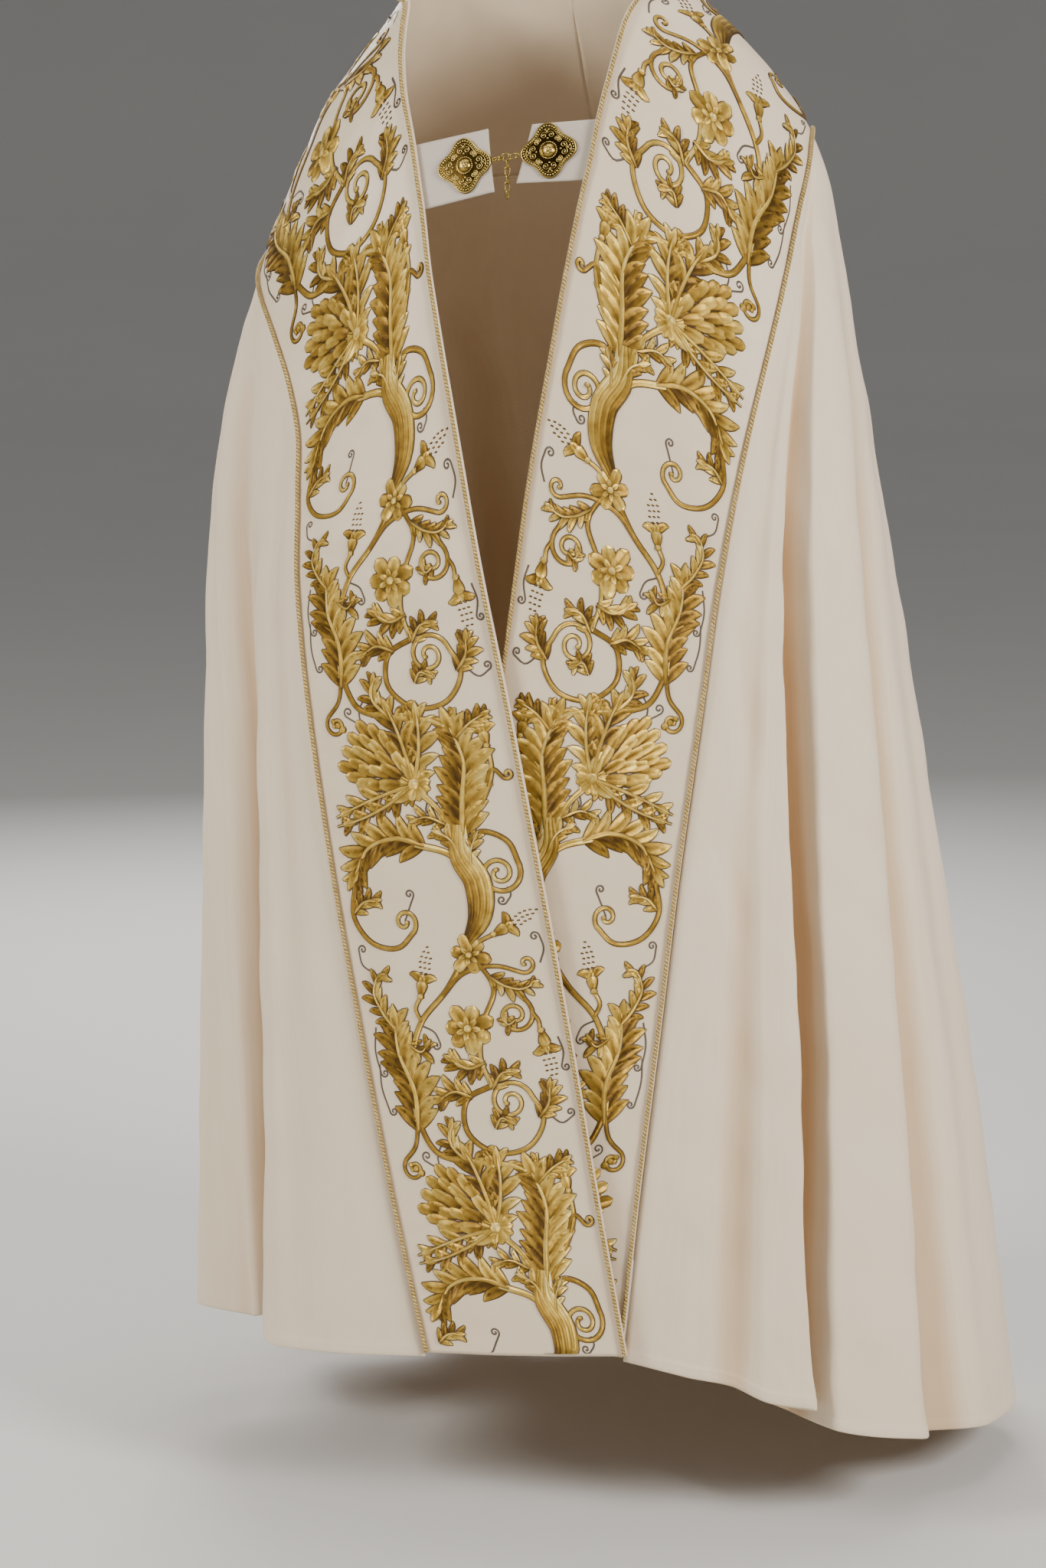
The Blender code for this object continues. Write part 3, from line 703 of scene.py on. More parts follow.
def add_stitching(name, band, work, material):
    """Flat embroidery laid on a band, repeated up it from the hem, where it is cut off."""
    spots = []
    patterns = []
    for repeat in range(-1, 5):
        up = FIRST_FLOWER - FLOWER_UP + REPEAT * repeat
        for patch in work:
            flat = patch["flat"] + (0, up)
            if flat[..., 1].mean() < HEM_MARGIN or flat[..., 1].max() > band.length * 1000 - HEM_MARGIN:
                continue
            if flat[..., 0].min() < EDGE_MARGIN or flat[..., 0].max() > BAND_WIDTH * 1000 - EDGE_MARGIN:
                continue
            flat[..., 1] = np.maximum(flat[..., 1], HEM_MARGIN)
            spots.append(band.lay(flat, patch["rise"] - SUNK))
            patterns.append(np.stack([patch["rim"] / 1000, patch["along"] / 1000, patch["tone"]], axis=-1))
    bm = start_mesh()
    fill_strips(bm, spots, patterns)
    bmesh.ops.dissolve_degenerate(bm, edges=bm.edges[:], dist=0.00002)
    bm.normal_update()
    if next(iter(bm.faces)).normal.y > 0:
        bmesh.ops.reverse_faces(bm, faces=bm.faces[:])
    return dress(name, bm, material)


def tube(bm, path, normals, radius, sides, twist=0.0, lobe=0.0, tone=0.5, closed=False):
    """A round or two-ply cord along a path. Twist is in turns per metre."""
    ahead = np.gradient(path, axis=0)
    if closed:
        ahead[0] = ahead[-1] = path[1] - path[-2]
    ahead /= np.linalg.norm(ahead, axis=-1, keepdims=True)
    side = np.cross(ahead, normals)
    side /= np.linalg.norm(side, axis=-1, keepdims=True)
    up = np.cross(side, ahead)
    run = run_lengths(path, 0)
    angle = np.linspace(0, 2 * math.pi, sides + 1)[None, :]
    spin = (run * twist * 2 * math.pi)[:, None]
    reach = radius * (1 - lobe * (0.5 - 0.5 * np.cos(2 * (angle - spin))))
    spots = path[:, None] + side[:, None] * (reach * np.cos(angle))[..., None]
    spots = spots + up[:, None] * (reach * np.sin(angle))[..., None]
    # Painted shade and highlight on the cord: darker in the grooves between its two plies, lighter on their
    # crests
    ply_shade = 0.5 * np.cos(2 * (angle - spin)) if lobe else 0 * (angle - spin)
    pattern = np.stack([np.cos(angle) + 0 * spin, run[:, None] + 0 * angle, tone + ply_shade], axis=-1)
    verts = fill_grid(bm, spots, pattern)
    bmesh.ops.remove_doubles(bm, verts=verts, dist=1e-7)


def add_piping(band, edge, inset):
    steps = int(band.length / CORD_STEP)
    length = np.linspace(0.001, band.length - 0.001, steps)
    along = np.interp(length, band.lengths, band.along)
    across = inset / BAND_WIDTH + 0 * along
    lift = BAND_WALL / 2 + PIPING_CLEARANCE + PIPING_DIAMETER / 2
    bm = start_mesh()
    tube(bm, band.spot(along, across, lift), band.normal(along, across), PIPING_DIAMETER / 2, CORD_SIDES,
         twist=1 / CORD_PITCH, lobe=0.28)
    bmesh.ops.holes_fill(bm, edges=[edge for edge in bm.edges if edge.is_boundary], sides=0)
    bmesh.ops.recalc_face_normals(bm, faces=bm.faces[:])
    name = f"piping_{band.name}_{edge}"
    dress(f"cord_{band.name}_{edge}", bm, cord_thread(), nodes=[name])


def add_tab(name, corners):
    across, down = np.meshgrid(np.linspace(0, 1, TAB_STEPS + 1), np.linspace(0, 1, TAB_STEPS + 1))
    spot = []
    for part in ("turn", "height"):
        far_top, near_top, near_foot, far_foot = corners[part]
        top = far_top + (near_top - far_top) * across
        foot = far_foot + (near_foot - far_foot) * across
        spot.append(top + (foot - top) * down)
    normals = form_normal(*spot)
    depth = -(BAND_WALL / 2 + TAB_CLEARANCE + TAB_WALL / 2)
    spots = place(*spot, depth, 0)
    run = run_lengths(spots, 1)
    fallen = run_lengths(spots, 0)
    rim = np.minimum(np.minimum(fallen, fallen[-1] - fallen), run[:, -1:] - run)
    seam = np.exp(-((rim - 0.005) / 0.0009) ** 2) * 0.0007
    wall = TAB_WALL - 0.0012 * (1 - smooth_step(rim / 0.003)) - seam
    # The rim, as the third value, also feeds the painted valley shade, which darkens the tab very slightly
    # towards its middle
    pattern = np.stack([run, fallen, rim], axis=-1)
    tab = shell(f"{name}_cloth", spots, normals, wall, pattern, tab_satin(), [name])


def line_through(points, steps):
    """Even steps along a smooth curve through a few points."""
    points = np.array(points, float)
    stops = np.concatenate([[0], np.cumsum(np.hypot(*np.diff(points, axis=0).T))])
    where = np.linspace(0, stops[-1], steps)
    return np.stack([follow(where, stops, points[:, 0]), follow(where, stops, points[:, 1])], axis=-1)


def heading_of(path):
    ahead = np.gradient(path, axis=0)
    return np.degrees(np.unwrap(np.arctan2(ahead[:, 1], ahead[:, 0])))


def toward(spot, heading, length):
    """The point at a length from a spot, on a heading in degrees."""
    angle = math.radians(heading)
    return np.asarray(spot, float) + length * np.array([math.cos(angle), math.sin(angle)])


def arc_from(base, heading, length, bend, steps):
    """A curve that starts at a point on a heading and bends evenly, in degrees."""
    share = (np.arange(steps - 1) + 0.5) / (steps - 1)
    angle = np.radians(heading + bend * share)
    path = np.cumsum(np.stack([np.cos(angle), np.sin(angle)], axis=-1) * length / (steps - 1), axis=0)
    return np.concatenate([[base], np.asarray(base) + path])


def satin(work, spine, width, lift, tone, vein=0.0, under=0.0):
    """One padded shape along a spine, with a dark outline. Width is its half-width at each
    step, and under is how far the stitches below it hold it off the cloth."""
    width = np.broadcast_to(width, len(spine))
    ahead = np.gradient(spine, axis=0)
    ahead /= np.linalg.norm(ahead, axis=-1, keepdims=True)
    side = np.stack([-ahead[:, 1], ahead[:, 0]], axis=-1)
    full = (width + OUTLINE)[:, None]
    flat = spine[:, None] + side[:, None] * (full * ACROSS)[..., None]
    share = np.linspace(0, 1, len(spine))[:, None]
    middle = np.exp(-(ACROSS / 0.2) ** 2) * vein
    swell = np.clip(width / max(width.max(), 1e-9), 0, 1)[:, None] ** 0.5
    rise = under + 1.25 * lift * swell * (1 - np.abs(ACROSS) ** 3.2) ** 0.6 * (1 - 0.5 * middle)
    run = np.concatenate([[0], np.cumsum(np.linalg.norm(np.diff(spine, axis=0), axis=-1))])
    work.append({
        "flat": flat,
        "rise": rise,
        "rim": full * (1 - np.abs(ACROSS)),
        "along": run[:, None] + 0 * rise,
        # Painted shade and highlight: darker at the shape's foot and down a veined shape's middle groove,
        # lighter towards its tip
        "tone": tone - 0.06 + 0.40 * (share - 0.45) - 0.5 * middle * (1 - share),
    })


def vine(work, points, start_width, end_width, curl=None, tone=0.55, lift=1.3, under=0.0):
    """A stem through a few points. Curl is the radius, turns and hand of the spiral at its end."""
    path = line_through(points, max(8, int(np.hypot(*np.diff(np.array(points, float), axis=0).T).sum() / 4)))
    if curl:
        radius, turns, hand = curl
        heading = heading_of(path)[-1]
        middle = toward(path[-1], heading + hand * 90, radius)
        share = np.linspace(0, 1, int(24 * turns))[1:]
        angle = np.radians(heading - hand * 90 + hand * 360 * turns * share)
        reach = radius * (1 - 0.80 * share ** 0.9)
        spiral = middle + np.stack([reach * np.cos(angle), reach * np.sin(angle)], axis=-1)
        path = np.concatenate([path, spiral])
        dome(work, path[-1], end_width * 1.5, tone + 0.15, 2.0)
    satin(work, path, np.linspace(start_width, end_width, len(path)), lift, tone + 0.1, 0.35, under)


def leaf(work, base, heading, length, width, bend=0.0, tone=0.55, under=0.0):
    """A pointed lobe, widest at its middle."""
    share = np.linspace(0, 1, 7)
    shape = np.sin(math.pi * (0.06 + 0.94 * share)) ** 0.8
    satin(work, arc_from(base, heading, length, bend, 7), width * shape, 1.3, tone, 0.8, under)


def petal(work, base, heading, length, width, bend=0.0, tone=0.55, under=0.0):
    """A rounded petal, widest near its end."""
    share = np.linspace(0, 1, 7)
    past = np.where(share > 0.62, 0.38, 0.75)
    shape = np.sqrt(np.clip(1 - ((share - 0.62) / past) ** 2, 0, 1))
    satin(work, arc_from(base, heading, length, bend, 7), width * shape, 1.4, tone, 0.5, under)


def dome(work, middle, radius, tone=0.6, lift=1.2, under=0.0):
    spine = np.array(middle, float) + np.stack([np.zeros(5), radius * np.array([-1, -.7, 0, .7, 1])], axis=-1)
    satin(work, spine, radius * np.array([0, .71, 1, .71, 0]), lift, tone, 0.0, under)


def acanthus(work, points, width, lobes, sides=(1, -1), tone=0.55, spread=(24, 12)):
    """A leaf of long lobes that leave its spine at a small angle and turn out at their tips."""
    spine = line_through(points, lobes * 4 + 1)
    heading = heading_of(spine)
    for lobe in range(lobes):
        share = (lobe + 0.1) / lobes
        at = int(round(share * lobes * 4))
        full = math.sin(math.pi * min(1.0, 0.30 + 0.56 * share)) ** 0.8
        under = 0.25 * (lobe % 3)
        for side in sides:
            length = width * (1.50 * full + 0.10 * ((lobe * 5 + side) % 3 - 1))
            away = heading[at] + side * (spread[0] + (spread[1] - spread[0]) * share)
            shade = tone + (0.16 if side > 0 else -0.16) + 0.06 * ((lobe * 7 + side) % 3 - 1)
            tooth = toward(spine[at], away + side * 10, 0.50 * length)
            turned_out = away + side * 44
            leaf(work, tooth, turned_out, length * 0.40, length * 0.105, -side * 24, shade - 0.10, under)
            leaf(work, spine[at], away, length, length * 0.18, side * 46, shade, under + 0.14)
    leaf(work, spine[-6], heading[-1], width * 1.15, width * 0.20, 0, tone + 0.10, 0.7)
    taper = np.interp(np.linspace(0, 1, len(spine)), [0, 0.15, 1], [0.04, 0.11, 0.03])
    satin(work, spine, width * taper, 1.5, tone + 0.25, 0.0, 0.6)


def fan(work, base, heading, size, leaves, tone=0.55):
    """Broad toothed leaves from one place. Each has an angle, length, width and bend."""
    for angle, length, width, bend in leaves:
        points = arc_from(base, heading + angle, size * length, bend, 4)
        acanthus(work, points, size * width, 5, tone=tone + 0.05 * math.cos(angle))


def blossom(work, middle, size, petals, turn=0.0, tone=0.55):
    for number in range(petals):
        heading = turn + 360 * number / petals
        length = size * (0.88 + 0.14 * (number % 2))
        petal(work, toward(middle, heading, 0.12 * size), heading, length, size * 0.30, 0,
              tone + 0.12 * (number % 3 - 1), 0.25 * (number % 2))
    for number in range(petals):
        heading = turn + 360 * (number + 0.5) / petals
        leaf(work, toward(middle, heading, 0.1 * size), heading, size * 0.46, size * 0.12, 0, tone + 0.2, 0.8)
    dome(work, middle, size * 0.17, tone + 0.25, 1.6, 1.2)


def bell(work, base, heading, size, tone=0.55, pollen=True):
    """A bell flower: a cup, two petals that turn back, a middle one, and dots ahead of it."""
    share = np.array([.06, .12, .17, .21, .23, .15])
    mouth = toward(base, heading, size * 0.5)
    for side in (1, -1):
        leaf(work, mouth, heading + side * 16, size * 0.78, size * 0.17, side * 92, tone + 0.1 * side, 0.1)
    leaf(work, mouth, heading, size * 0.46, size * 0.15, 0, tone + 0.15, 0.2)
    satin(work, arc_from(base, heading, size * 0.62, 0, 6), size * share, 1.5, tone, 0.8, 0.35)
    dome(work, base, size * 0.13, tone + 0.15, 1.5, 0.4)
    for row, count in enumerate((2, 3, 3, 3, 2, 1) if pollen else ()):
        for number in range(count):
            spot = toward(mouth, heading, size * (0.48 + 0.22 * row))
            aside = size * 0.20 * (number - (count - 1) / 2 + 0.15 * (row % 2))
            dome(work, toward(spot, heading + 90, aside), 0.9, 0.35, 0.7)


def palmette(work, base, heading, size, tone=0.55):
    """The large flower: toothed leaves round a heart of scales, with a ruff at its base."""
    fan(work, base, heading, size, PALMETTE_LEAVES, tone - 0.04)
    for row, (reach, count, opened) in enumerate(PALMETTE_SCALES):
        for number in range(count):
            angle = heading + 14 + opened * (number / (count - 1) - 0.5)
            petal(work, toward(base, angle, size * reach), angle, size * 0.27, size * 0.062, 0,
                  tone + 0.10 * ((number * 2 + row) % 3 - 1), 0.20 * row)
    for number in range(9):
        angle = heading + 180 + (number - 4) * 29
        upper = number % 2
        petal(work, base, angle, size * 0.19, size * 0.045, 0, tone + 0.12 * upper, 0.3 + 0.2 * upper)
    for side in (1, -1):
        leaf(work, base, heading + side * 68, size * 0.34, size * 0.07, side * -40, tone + 0.2, 0.9)
    dome(work, base, size * 0.065, tone + 0.2, 1.6, 1.0)
    for number in range(3):
        spot = toward(base, heading + 20, size * (0.99 + 0.075 * number))
        dome(work, spot, size * (0.042 - 0.005 * number), tone, 1.6)


def sheath(work, points, widths, ribs, tone=0.55):
    """The fluted foot that the main leaves grow from, of ribs side by side."""
    spine = line_through(points, 20)
    width = follow(np.linspace(0, 1, 20), np.linspace(0, 1, len(widths)), widths)
    angle = np.radians(heading_of(spine) + 90)
    side = np.stack([np.cos(angle), np.sin(angle)], axis=-1)
    for rib in range(ribs):
        offset = (rib + 0.5) / ribs * 2 - 1
        satin(work, spine + side * (width * offset)[:, None], width / ribs * 1.1, 1.6,
              tone + 0.14 * (rib - (ribs - 1) / 2), 0.3, 0.5 * (1 - offset**2))


def one_repeat():
    """Each part of one repeat, which grows up the band."""
    work = []
    # Stems of the lower half
    vine(work, [(88, 168), (116, 134), (152, 102), (172, 56), (176, 4)], 2.2, 3.0)
    vine(work, [(80, 160), (68, 130), (84, 98), (94, 62), (88, 30)], 1.8, 2.0)
    vine(work, [(176, 6), (160, -30), (118, -44), (74, -56), (58, -78)], 2.6, 2.4)
    vine(work, [(122, 128), (96, 148), (62, 152), (36, 142)], 1.9, 1.3, (10, 0.9, -1))
    vine(work, [(88, 32), (116, 20), (122, -12), (98, -36), (62, -34), (42, -6), (52, 22)], 2.3, 1.6,
         (22, 1.5, -1))
    vine(work, [(68, 130), (50, 130), (36, 110)], 1.8, 1.5, (19, 1.5, 1))
    vine(work, [(176, 2), (184, -22), (198, -34)], 1.8, 1.3, (13, 1.2, -1))
    vine(work, [(150, 104), (154, 118), (146, 130)], 1.7, 1.6)
    vine(work, [(34, 100), (30, 92), (30, 84)], 1.5, 1.5)
    # Stems of the upper half
    vine(work, [(72, 272), (54, 288), (28, 276), (20, 250)], 2.3, 1.6, (22, 1.7, 1))
    vine(work, [(80, 288), (90, 314), (112, 340)], 2.4, 2.8)
    vine(work, [(66, 288), (46, 316), (30, 348), (30, 378)], 2.4, 1.8)
    vine(work, [(40, 330), (28, 350), (20, 340)], 1.7, 1.2, (6, 0.9, -1))
    vine(work, [(84, 170), (70, 180), (58, 184)], 1.7, 1.5)
    vine(work, [(68, 236), (86, 268), (122, 284)], 2.6, 3.2)
    vine(work, [(198, 250), (206, 218), (190, 190), (160, 182), (140, 196)], 2.5, 1.5, (14, 1.1, -1))
    # Leaves and flowers of the lower half
    acanthus(work, [(176, -6), (172, 34), (182, 76), (180, 112)], 27, 9, tone=0.5)
    acanthus(work, [(178, 96), (192, 118), (198, 140), (188, 156), (176, 152)], 14, 7, tone=0.6)
    acanthus(work, [(170, 84), (156, 74), (146, 84)], 12, 4, tone=0.55)
    bell(work, (146, 130), 108, 25)
    blossom(work, (101, 92), 25, 7, 10)
    acanthus(work, [(90, 56), (108, 52), (128, 66)], 15, 5)
    acanthus(work, [(70, 142), (54, 130), (40, 126), (24, 132)], 12, 6, tone=0.6)
    acanthus(work, [(52, 96), (60, 92), (64, 100)], 9, 3, tone=0.65)
    bell(work, (29, 82), 264, 25)
    acanthus(work, [(110, 22), (128, 30), (148, 22)], 15, 5, tone=0.52)
    acanthus(work, [(46, -6), (34, 8), (30, 28)], 14, 5, tone=0.5)
    acanthus(work, [(92, -12), (84, -2), (74, -8)], 11, 4, tone=0.62)
    acanthus(work, [(88, 28), (74, 44), (60, 44)], 13, 4)
    acanthus(work, [(128, -42), (142, -22), (136, 0)], 15, 5, tone=0.6)
    bell(work, (102, -50), 70, 20, 0.5, False)
    acanthus(work, [(60, -72), (42, -58), (24, -50)], 13, 5)
    bell(work, (70, -58), 150, 19, 0.6, False)
    # Leaves and flowers of the upper half
    acanthus(work, [(112, 281), (140, 292), (174, 286), (200, 254)], 25, 8, tone=0.48)
    acanthus(work, [(204, 222), (190, 232), (174, 232)], 13, 4, tone=0.6)
    sheath(work, [(86, 178), (68, 204), (64, 238), (76, 270), (72, 298)], [4, 11, 13, 12, 7], 4)
    acanthus(work, [(70, 286), (64, 322), (56, 362), (66, 402)], 29, 10, tone=0.52)
    acanthus(work, [(76, 262), (84, 284), (102, 296)], 13, 4, tone=0.66)
    acanthus(work, [(86, 300), (106, 310), (124, 306)], 12, 4, tone=0.62)
    acanthus(work, [(68, 250), (64, 272), (54, 290)], 11, 4, tone=0.64)
    palmette(work, (112, 344), 22, 96)
    blossom(work, (86, 166), 20, 6, 20)
    bell(work, (58, 184), 156, 24)
    bell(work, (30, 374), 84, 23, 0.55, False)
    return work


def tendrils():
    """The fine dark curls between the leaves, each with its spiral's radius, turns and hand."""
    work = []
    for points, curl in (
        ([(148, 208), (140, 222), (134, 232)], (5.0, 1.2, -1)),
        ([(196, 160), (206, 168), (208, 184)], (5.0, 1.2, 1)),
        ([(204, 104), (210, 80), (208, 56)], (4.5, 1.2, -1)),
        ([(208, 66), (210, 40), (206, 16)], (4.5, 1.2, -1)),
        ([(36, 230), (34, 222), (40, 214)], (5.0, 1.2, 1)),
        ([(18, 150), (12, 164), (14, 178)], (5.0, 1.2, -1)),
        ([(14, 74), (11, 58), (15, 44)], (4.5, 1.2, -1)),
        ([(150, 392), (160, 408), (176, 420)], (5.5, 1.2, 1)),
        ([(158, 402), (160, 424), (152, 436)], (4.5, 1.2, 1)),
        ([(150, 100), (138, 92), (134, 80)], (5.0, 1.2, 1)),
        ([(90, 322), (100, 326), (104, 318)], (4.5, 1.2, -1)),
        ([(36, -4), (24, -14), (12, -8)], (4.5, 1.2, -1)),
    ):
        vine(work, points, 0.10, 0.06, curl, 0.0, 0.5)
    return work


def plate_frame(spot):
    """The matrix of a plate lying on its tab: X along the clasp, Z outward."""
    turn, height = (np.array(value) for value in spot)
    tab_face = -(BAND_WALL / 2 + TAB_CLEARANCE)
    middle = Vector(place(turn, height, tab_face + LYING_GAP, 0))
    outward = Vector(form_normal(turn, height))
    right = Vector(place(*(np.array(value) for value in RIGHT_PLATE), 0.0, 0))
    left = Vector(place(*(np.array(value) for value in LEFT_PLATE), 0.0, 0))
    along = (left - right).normalized()
    across = outward.cross(along).normalized()
    along = across.cross(outward).normalized()
    matrix = Matrix((along, across, outward)).transposed().to_4x4()
    matrix.translation = middle
    return matrix


def lobed(angle, share):
    """Points of the plate's four-lobed outline, at a share of its size."""
    reach = (PLATE_RADIUS + PLATE_LOBE * np.cos(4 * angle)) * share
    return np.stack([reach * np.cos(angle), reach * np.sin(angle)], axis=-1)


def wire(bm, flat, height, radius, tone=0.8, closed=False, sides=6):
    path = np.concatenate([flat, np.broadcast_to(height, len(flat))[:, None]], axis=-1)
    tube(bm, path, np.broadcast_to((0.0, 0.0, 1.0), path.shape), radius, sides, tone=tone, closed=closed)


def bead(bm, spot, radius, height, tone=1.0):
    layer = bm.verts.layers.float_vector["pattern"]
    matrix = Matrix.Translation((spot[0], spot[1], height)) @ Matrix.Diagonal((1, 1, 0.8, 1))
    made = bmesh.ops.create_icosphere(bm, subdivisions=2, radius=radius, matrix=matrix)
    for vert in made["verts"]:
        vert[layer] = (0, 0, tone)


def turned(bm, profile, steps, tone_low, tone_high):
    """A turned or four-lobed body from a profile of out, height and how lobed it is."""
    angle = np.linspace(0, 2 * math.pi, steps + 1)
    rows = []
    for out, height, lobes in profile:
        round_ = np.stack([np.cos(angle), np.sin(angle)], axis=-1) * PLATE_RADIUS * out
        flat = round_ * (1 - lobes) + lobed(angle, out) * lobes
        rows.append(np.concatenate([flat, np.full((steps + 1, 1), height)], axis=-1))
    spots = np.array(rows)
    height = spots[..., 2]
    share = (height - height.min()) / max(float(np.ptp(height)), 1e-9)
    pattern = np.stack([0 * share, 0 * share, tone_low + (tone_high - tone_low) * share], axis=-1)
    bmesh.ops.remove_doubles(bm, verts=fill_grid(bm, spots, pattern), dist=1e-7)


def scroll(bm, middle, start, hand, radius, height):
    share = np.linspace(0, 1, 30)
    angle = np.radians(start) + hand * 2 * math.pi * 1.35 * share
    reach = radius * (1 - 0.78 * share)
    flat = np.stack([middle[0] + reach * np.cos(angle), middle[1] + reach * np.sin(angle)], axis=-1)
    wire(bm, flat, height, 0.00048, 0.85)
    bead(bm, flat[-1], 0.0009, height + 0.0002)


def add_plate(name, spot):
    """A filigree plate: a lobed base, a corded and beaded rim, scrolls in each lobe and a boss."""
    bm = start_mesh()
    turned(bm, PLATE_BASE, 96, 0.0, 0.12)
    ring = np.linspace(0, 2 * math.pi, 97)
    wire(bm, lobed(ring, 0.965), 0.0013, 0.00085, 0.8, True)
    wire(bm, lobed(ring, 0.800), 0.0013, 0.00050, 0.75, True)
    for angle in np.arange(RIM_BEADS) * 2 * math.pi / RIM_BEADS:
        bead(bm, lobed(np.array(angle), 0.882), 0.00095, 0.0016)
    for lobe in range(4):
        tip = lobe * math.pi / 2
        ahead = np.array([math.cos(tip), math.sin(tip)])
        side = np.array([-ahead[1], ahead[0]])
        for hand in (1, -1):
            aside = side * hand
            start = math.degrees(tip)
            scroll(bm, ahead * 0.0158 + aside * 0.0036, start - hand * 60, hand, 0.0037, 0.0016)
            scroll(bm, ahead * 0.0112 + aside * 0.0092, start + hand * 170, -hand, 0.0031, 0.0016)
            bead(bm, ahead * 0.0215 + aside * 0.0018, 0.0008, 0.0015)
        bead(bm, ahead * 0.0198, 0.0012, 0.0017)
        bead(bm, ahead * 0.0125, 0.0010, 0.0017)
        between = tip + math.pi / 4
        bead(bm, np.array([math.cos(between), math.sin(between)]) * 0.0165, 0.0012, 0.0017)
    turned(bm, PLATE_BOSS, 40, 0.2, 1.0)
    for angle in np.arange(BOSS_BEADS) * 2 * math.pi / BOSS_BEADS:
        bead(bm, np.array([math.cos(angle), math.sin(angle)]) * PLATE_RADIUS * 0.335, 0.0007, 0.0024)
    for angle in np.arange(CROWN_BEADS) * 2 * math.pi / CROWN_BEADS:
        bead(bm, np.array([math.cos(angle), math.sin(angle)]) * PLATE_RADIUS * 0.14, 0.0011, 0.0050)
    bead(bm, (0, 0), 0.0020, 0.0054)
    bmesh.ops.recalc_face_normals(bm, faces=bm.faces[:])
    bm.transform(plate_frame(spot))
    dress(f"{name}_filigree", bm, filigree(), nodes=[name])


def add_oval(name, matrix, half_length, half_width, body):
    """A closed oval of wire in the matrix's XY plane, long along X."""
    straight = half_length - half_width
    angle = np.linspace(0, 2 * math.pi, 49)
    flat = np.stack([np.where(np.cos(angle) >= 0, straight, -straight) + half_width * np.cos(angle),
                     half_width * np.sin(angle)], axis=-1)
    bm = start_mesh()
    wire(bm, flat, 0.0, WIRE_RADIUS, 0.8, True, 10)
    bmesh.ops.recalc_face_normals(bm, faces=bm.faces[:])
    bm.transform(matrix)
    dress(f"{name}_wire", bm, filigree(), body, [name])


def add_chain():
    """The links and rings between the plates, and the free end that hangs from a ring."""
    right = plate_frame(RIGHT_PLATE)
    left = plate_frame(LEFT_PLATE)
    tip = PLATE_RADIUS + PLATE_LOBE + EYE_REACH
    start = right @ Vector((tip, 0, CHAIN_HEIGHT))
    end = left @ Vector((-tip, 0, CHAIN_HEIGHT))
    along = (end - start).normalized()
    outward = right.col[2].xyz + left.col[2].xyz
    outward = (outward - along * outward.dot(along)).normalized()
    across = outward.cross(along)
    names = list(CHAIN)
    reaches = [CHAIN[near][0] + CHAIN[far][0] - 2 * WIRE_RADIUS for near, far in zip(names, names[1:])]
    clearance = (sum(reaches) - (end - start).length) / len(reaches)
    middle = start
    for number, name in enumerate(names):
        if number:
            middle = middle + along * (reaches[number - 1] - clearance)
        roll = math.radians(CHAIN_ROLL + 90 * (number % 2))
        side = across * math.cos(roll) + outward * math.sin(roll)
        matrix = Matrix((along, side, along.cross(side))).transposed().to_4x4()
        matrix.translation = middle
        add_oval(name, matrix, *CHAIN[name], "root")
        if name == "ring_right":
            add_tail(middle, side)


def add_tail(ring_middle, ring_side):
    """The chain's free end, hanging straight down from the right ring's lowest wire."""
    lowest = ring_side if ring_side.z < 0 else -ring_side
    hinge = ring_middle + lowest * CHAIN["ring_right"][0]
    half_length, half_width = TAIL_LINK
    drop = half_length - 2 * WIRE_RADIUS - TAIL_CLEARANCE
    down = Vector((0, 0, -1))
    for number in range(TAIL_LINKS):
        side = Vector((0, 1, 0)) if number % 2 == 0 else Vector((1, 0, 0))
        matrix = Matrix((down, side, down.cross(side))).transposed().to_4x4()
        matrix.translation = hinge + down * drop
        add_oval(f"tail_link_{number + 1}", matrix, half_length, half_width, "chain_tail")
        drop += 2 * half_length - 2 * WIRE_RADIUS - TAIL_CLEARANCE


def new_group(name, inputs, outputs):
    """A shader node group with named inputs and their values, and named outputs."""
    group = bpy.data.node_groups.new(name, "ShaderNodeTree")
    for socket, kind, value in inputs:
        made = group.interface.new_socket(socket, in_out="INPUT", socket_type=kind)
        if value is not None:
            made.default_value = value
    for socket, kind in outputs:
        group.interface.new_socket(socket, in_out="OUTPUT", socket_type=kind)
    nodes = group.nodes
    return group, nodes.new("NodeGroupInput"), nodes.new("NodeGroupOutput")


def link(tree, start, end):
    tree.links.new(start, end)


def math_node(tree, operation, first, second=None):
    node = tree.nodes.new("ShaderNodeMath")
    node.operation = operation
    for socket, value in zip(node.inputs, (first, second)):
        if value is None:
            continue
        if isinstance(value, (int, float)):
            socket.default_value = value
        else:
            link(tree, value, socket)
    return node.outputs[0]


def noise(tree, vector, scale, detail=3.0, roughness=0.55):
    node = tree.nodes.new("ShaderNodeTexNoise")
    node.inputs["Scale"].default_value = scale
    node.inputs["Detail"].default_value = detail
    node.inputs["Roughness"].default_value = roughness
    link(tree, vector, node.inputs["Vector"])
    return node.outputs["Fac"]


def pattern_of(tree):
    """The across, along and tone that a piece's points carry."""
    attribute = tree.nodes.new("ShaderNodeAttribute")
    attribute.attribute_name = "pattern"
    split = tree.nodes.new("ShaderNodeSeparateXYZ")
    link(tree, attribute.outputs["Vector"], split.inputs[0])
    return attribute.outputs["Vector"], split.outputs


def ramp(tree, value, stops):
    node = tree.nodes.new("ShaderNodeValToRGB")
    elements = node.color_ramp.elements
    while len(elements) < len(stops):
        elements.new(0.5)
    for element, (position, colour) in zip(elements, stops):
        element.position = position
        element.color = (*colour, 1.0)
    link(tree, value, node.inputs["Fac"])
    return node.outputs["Color"]


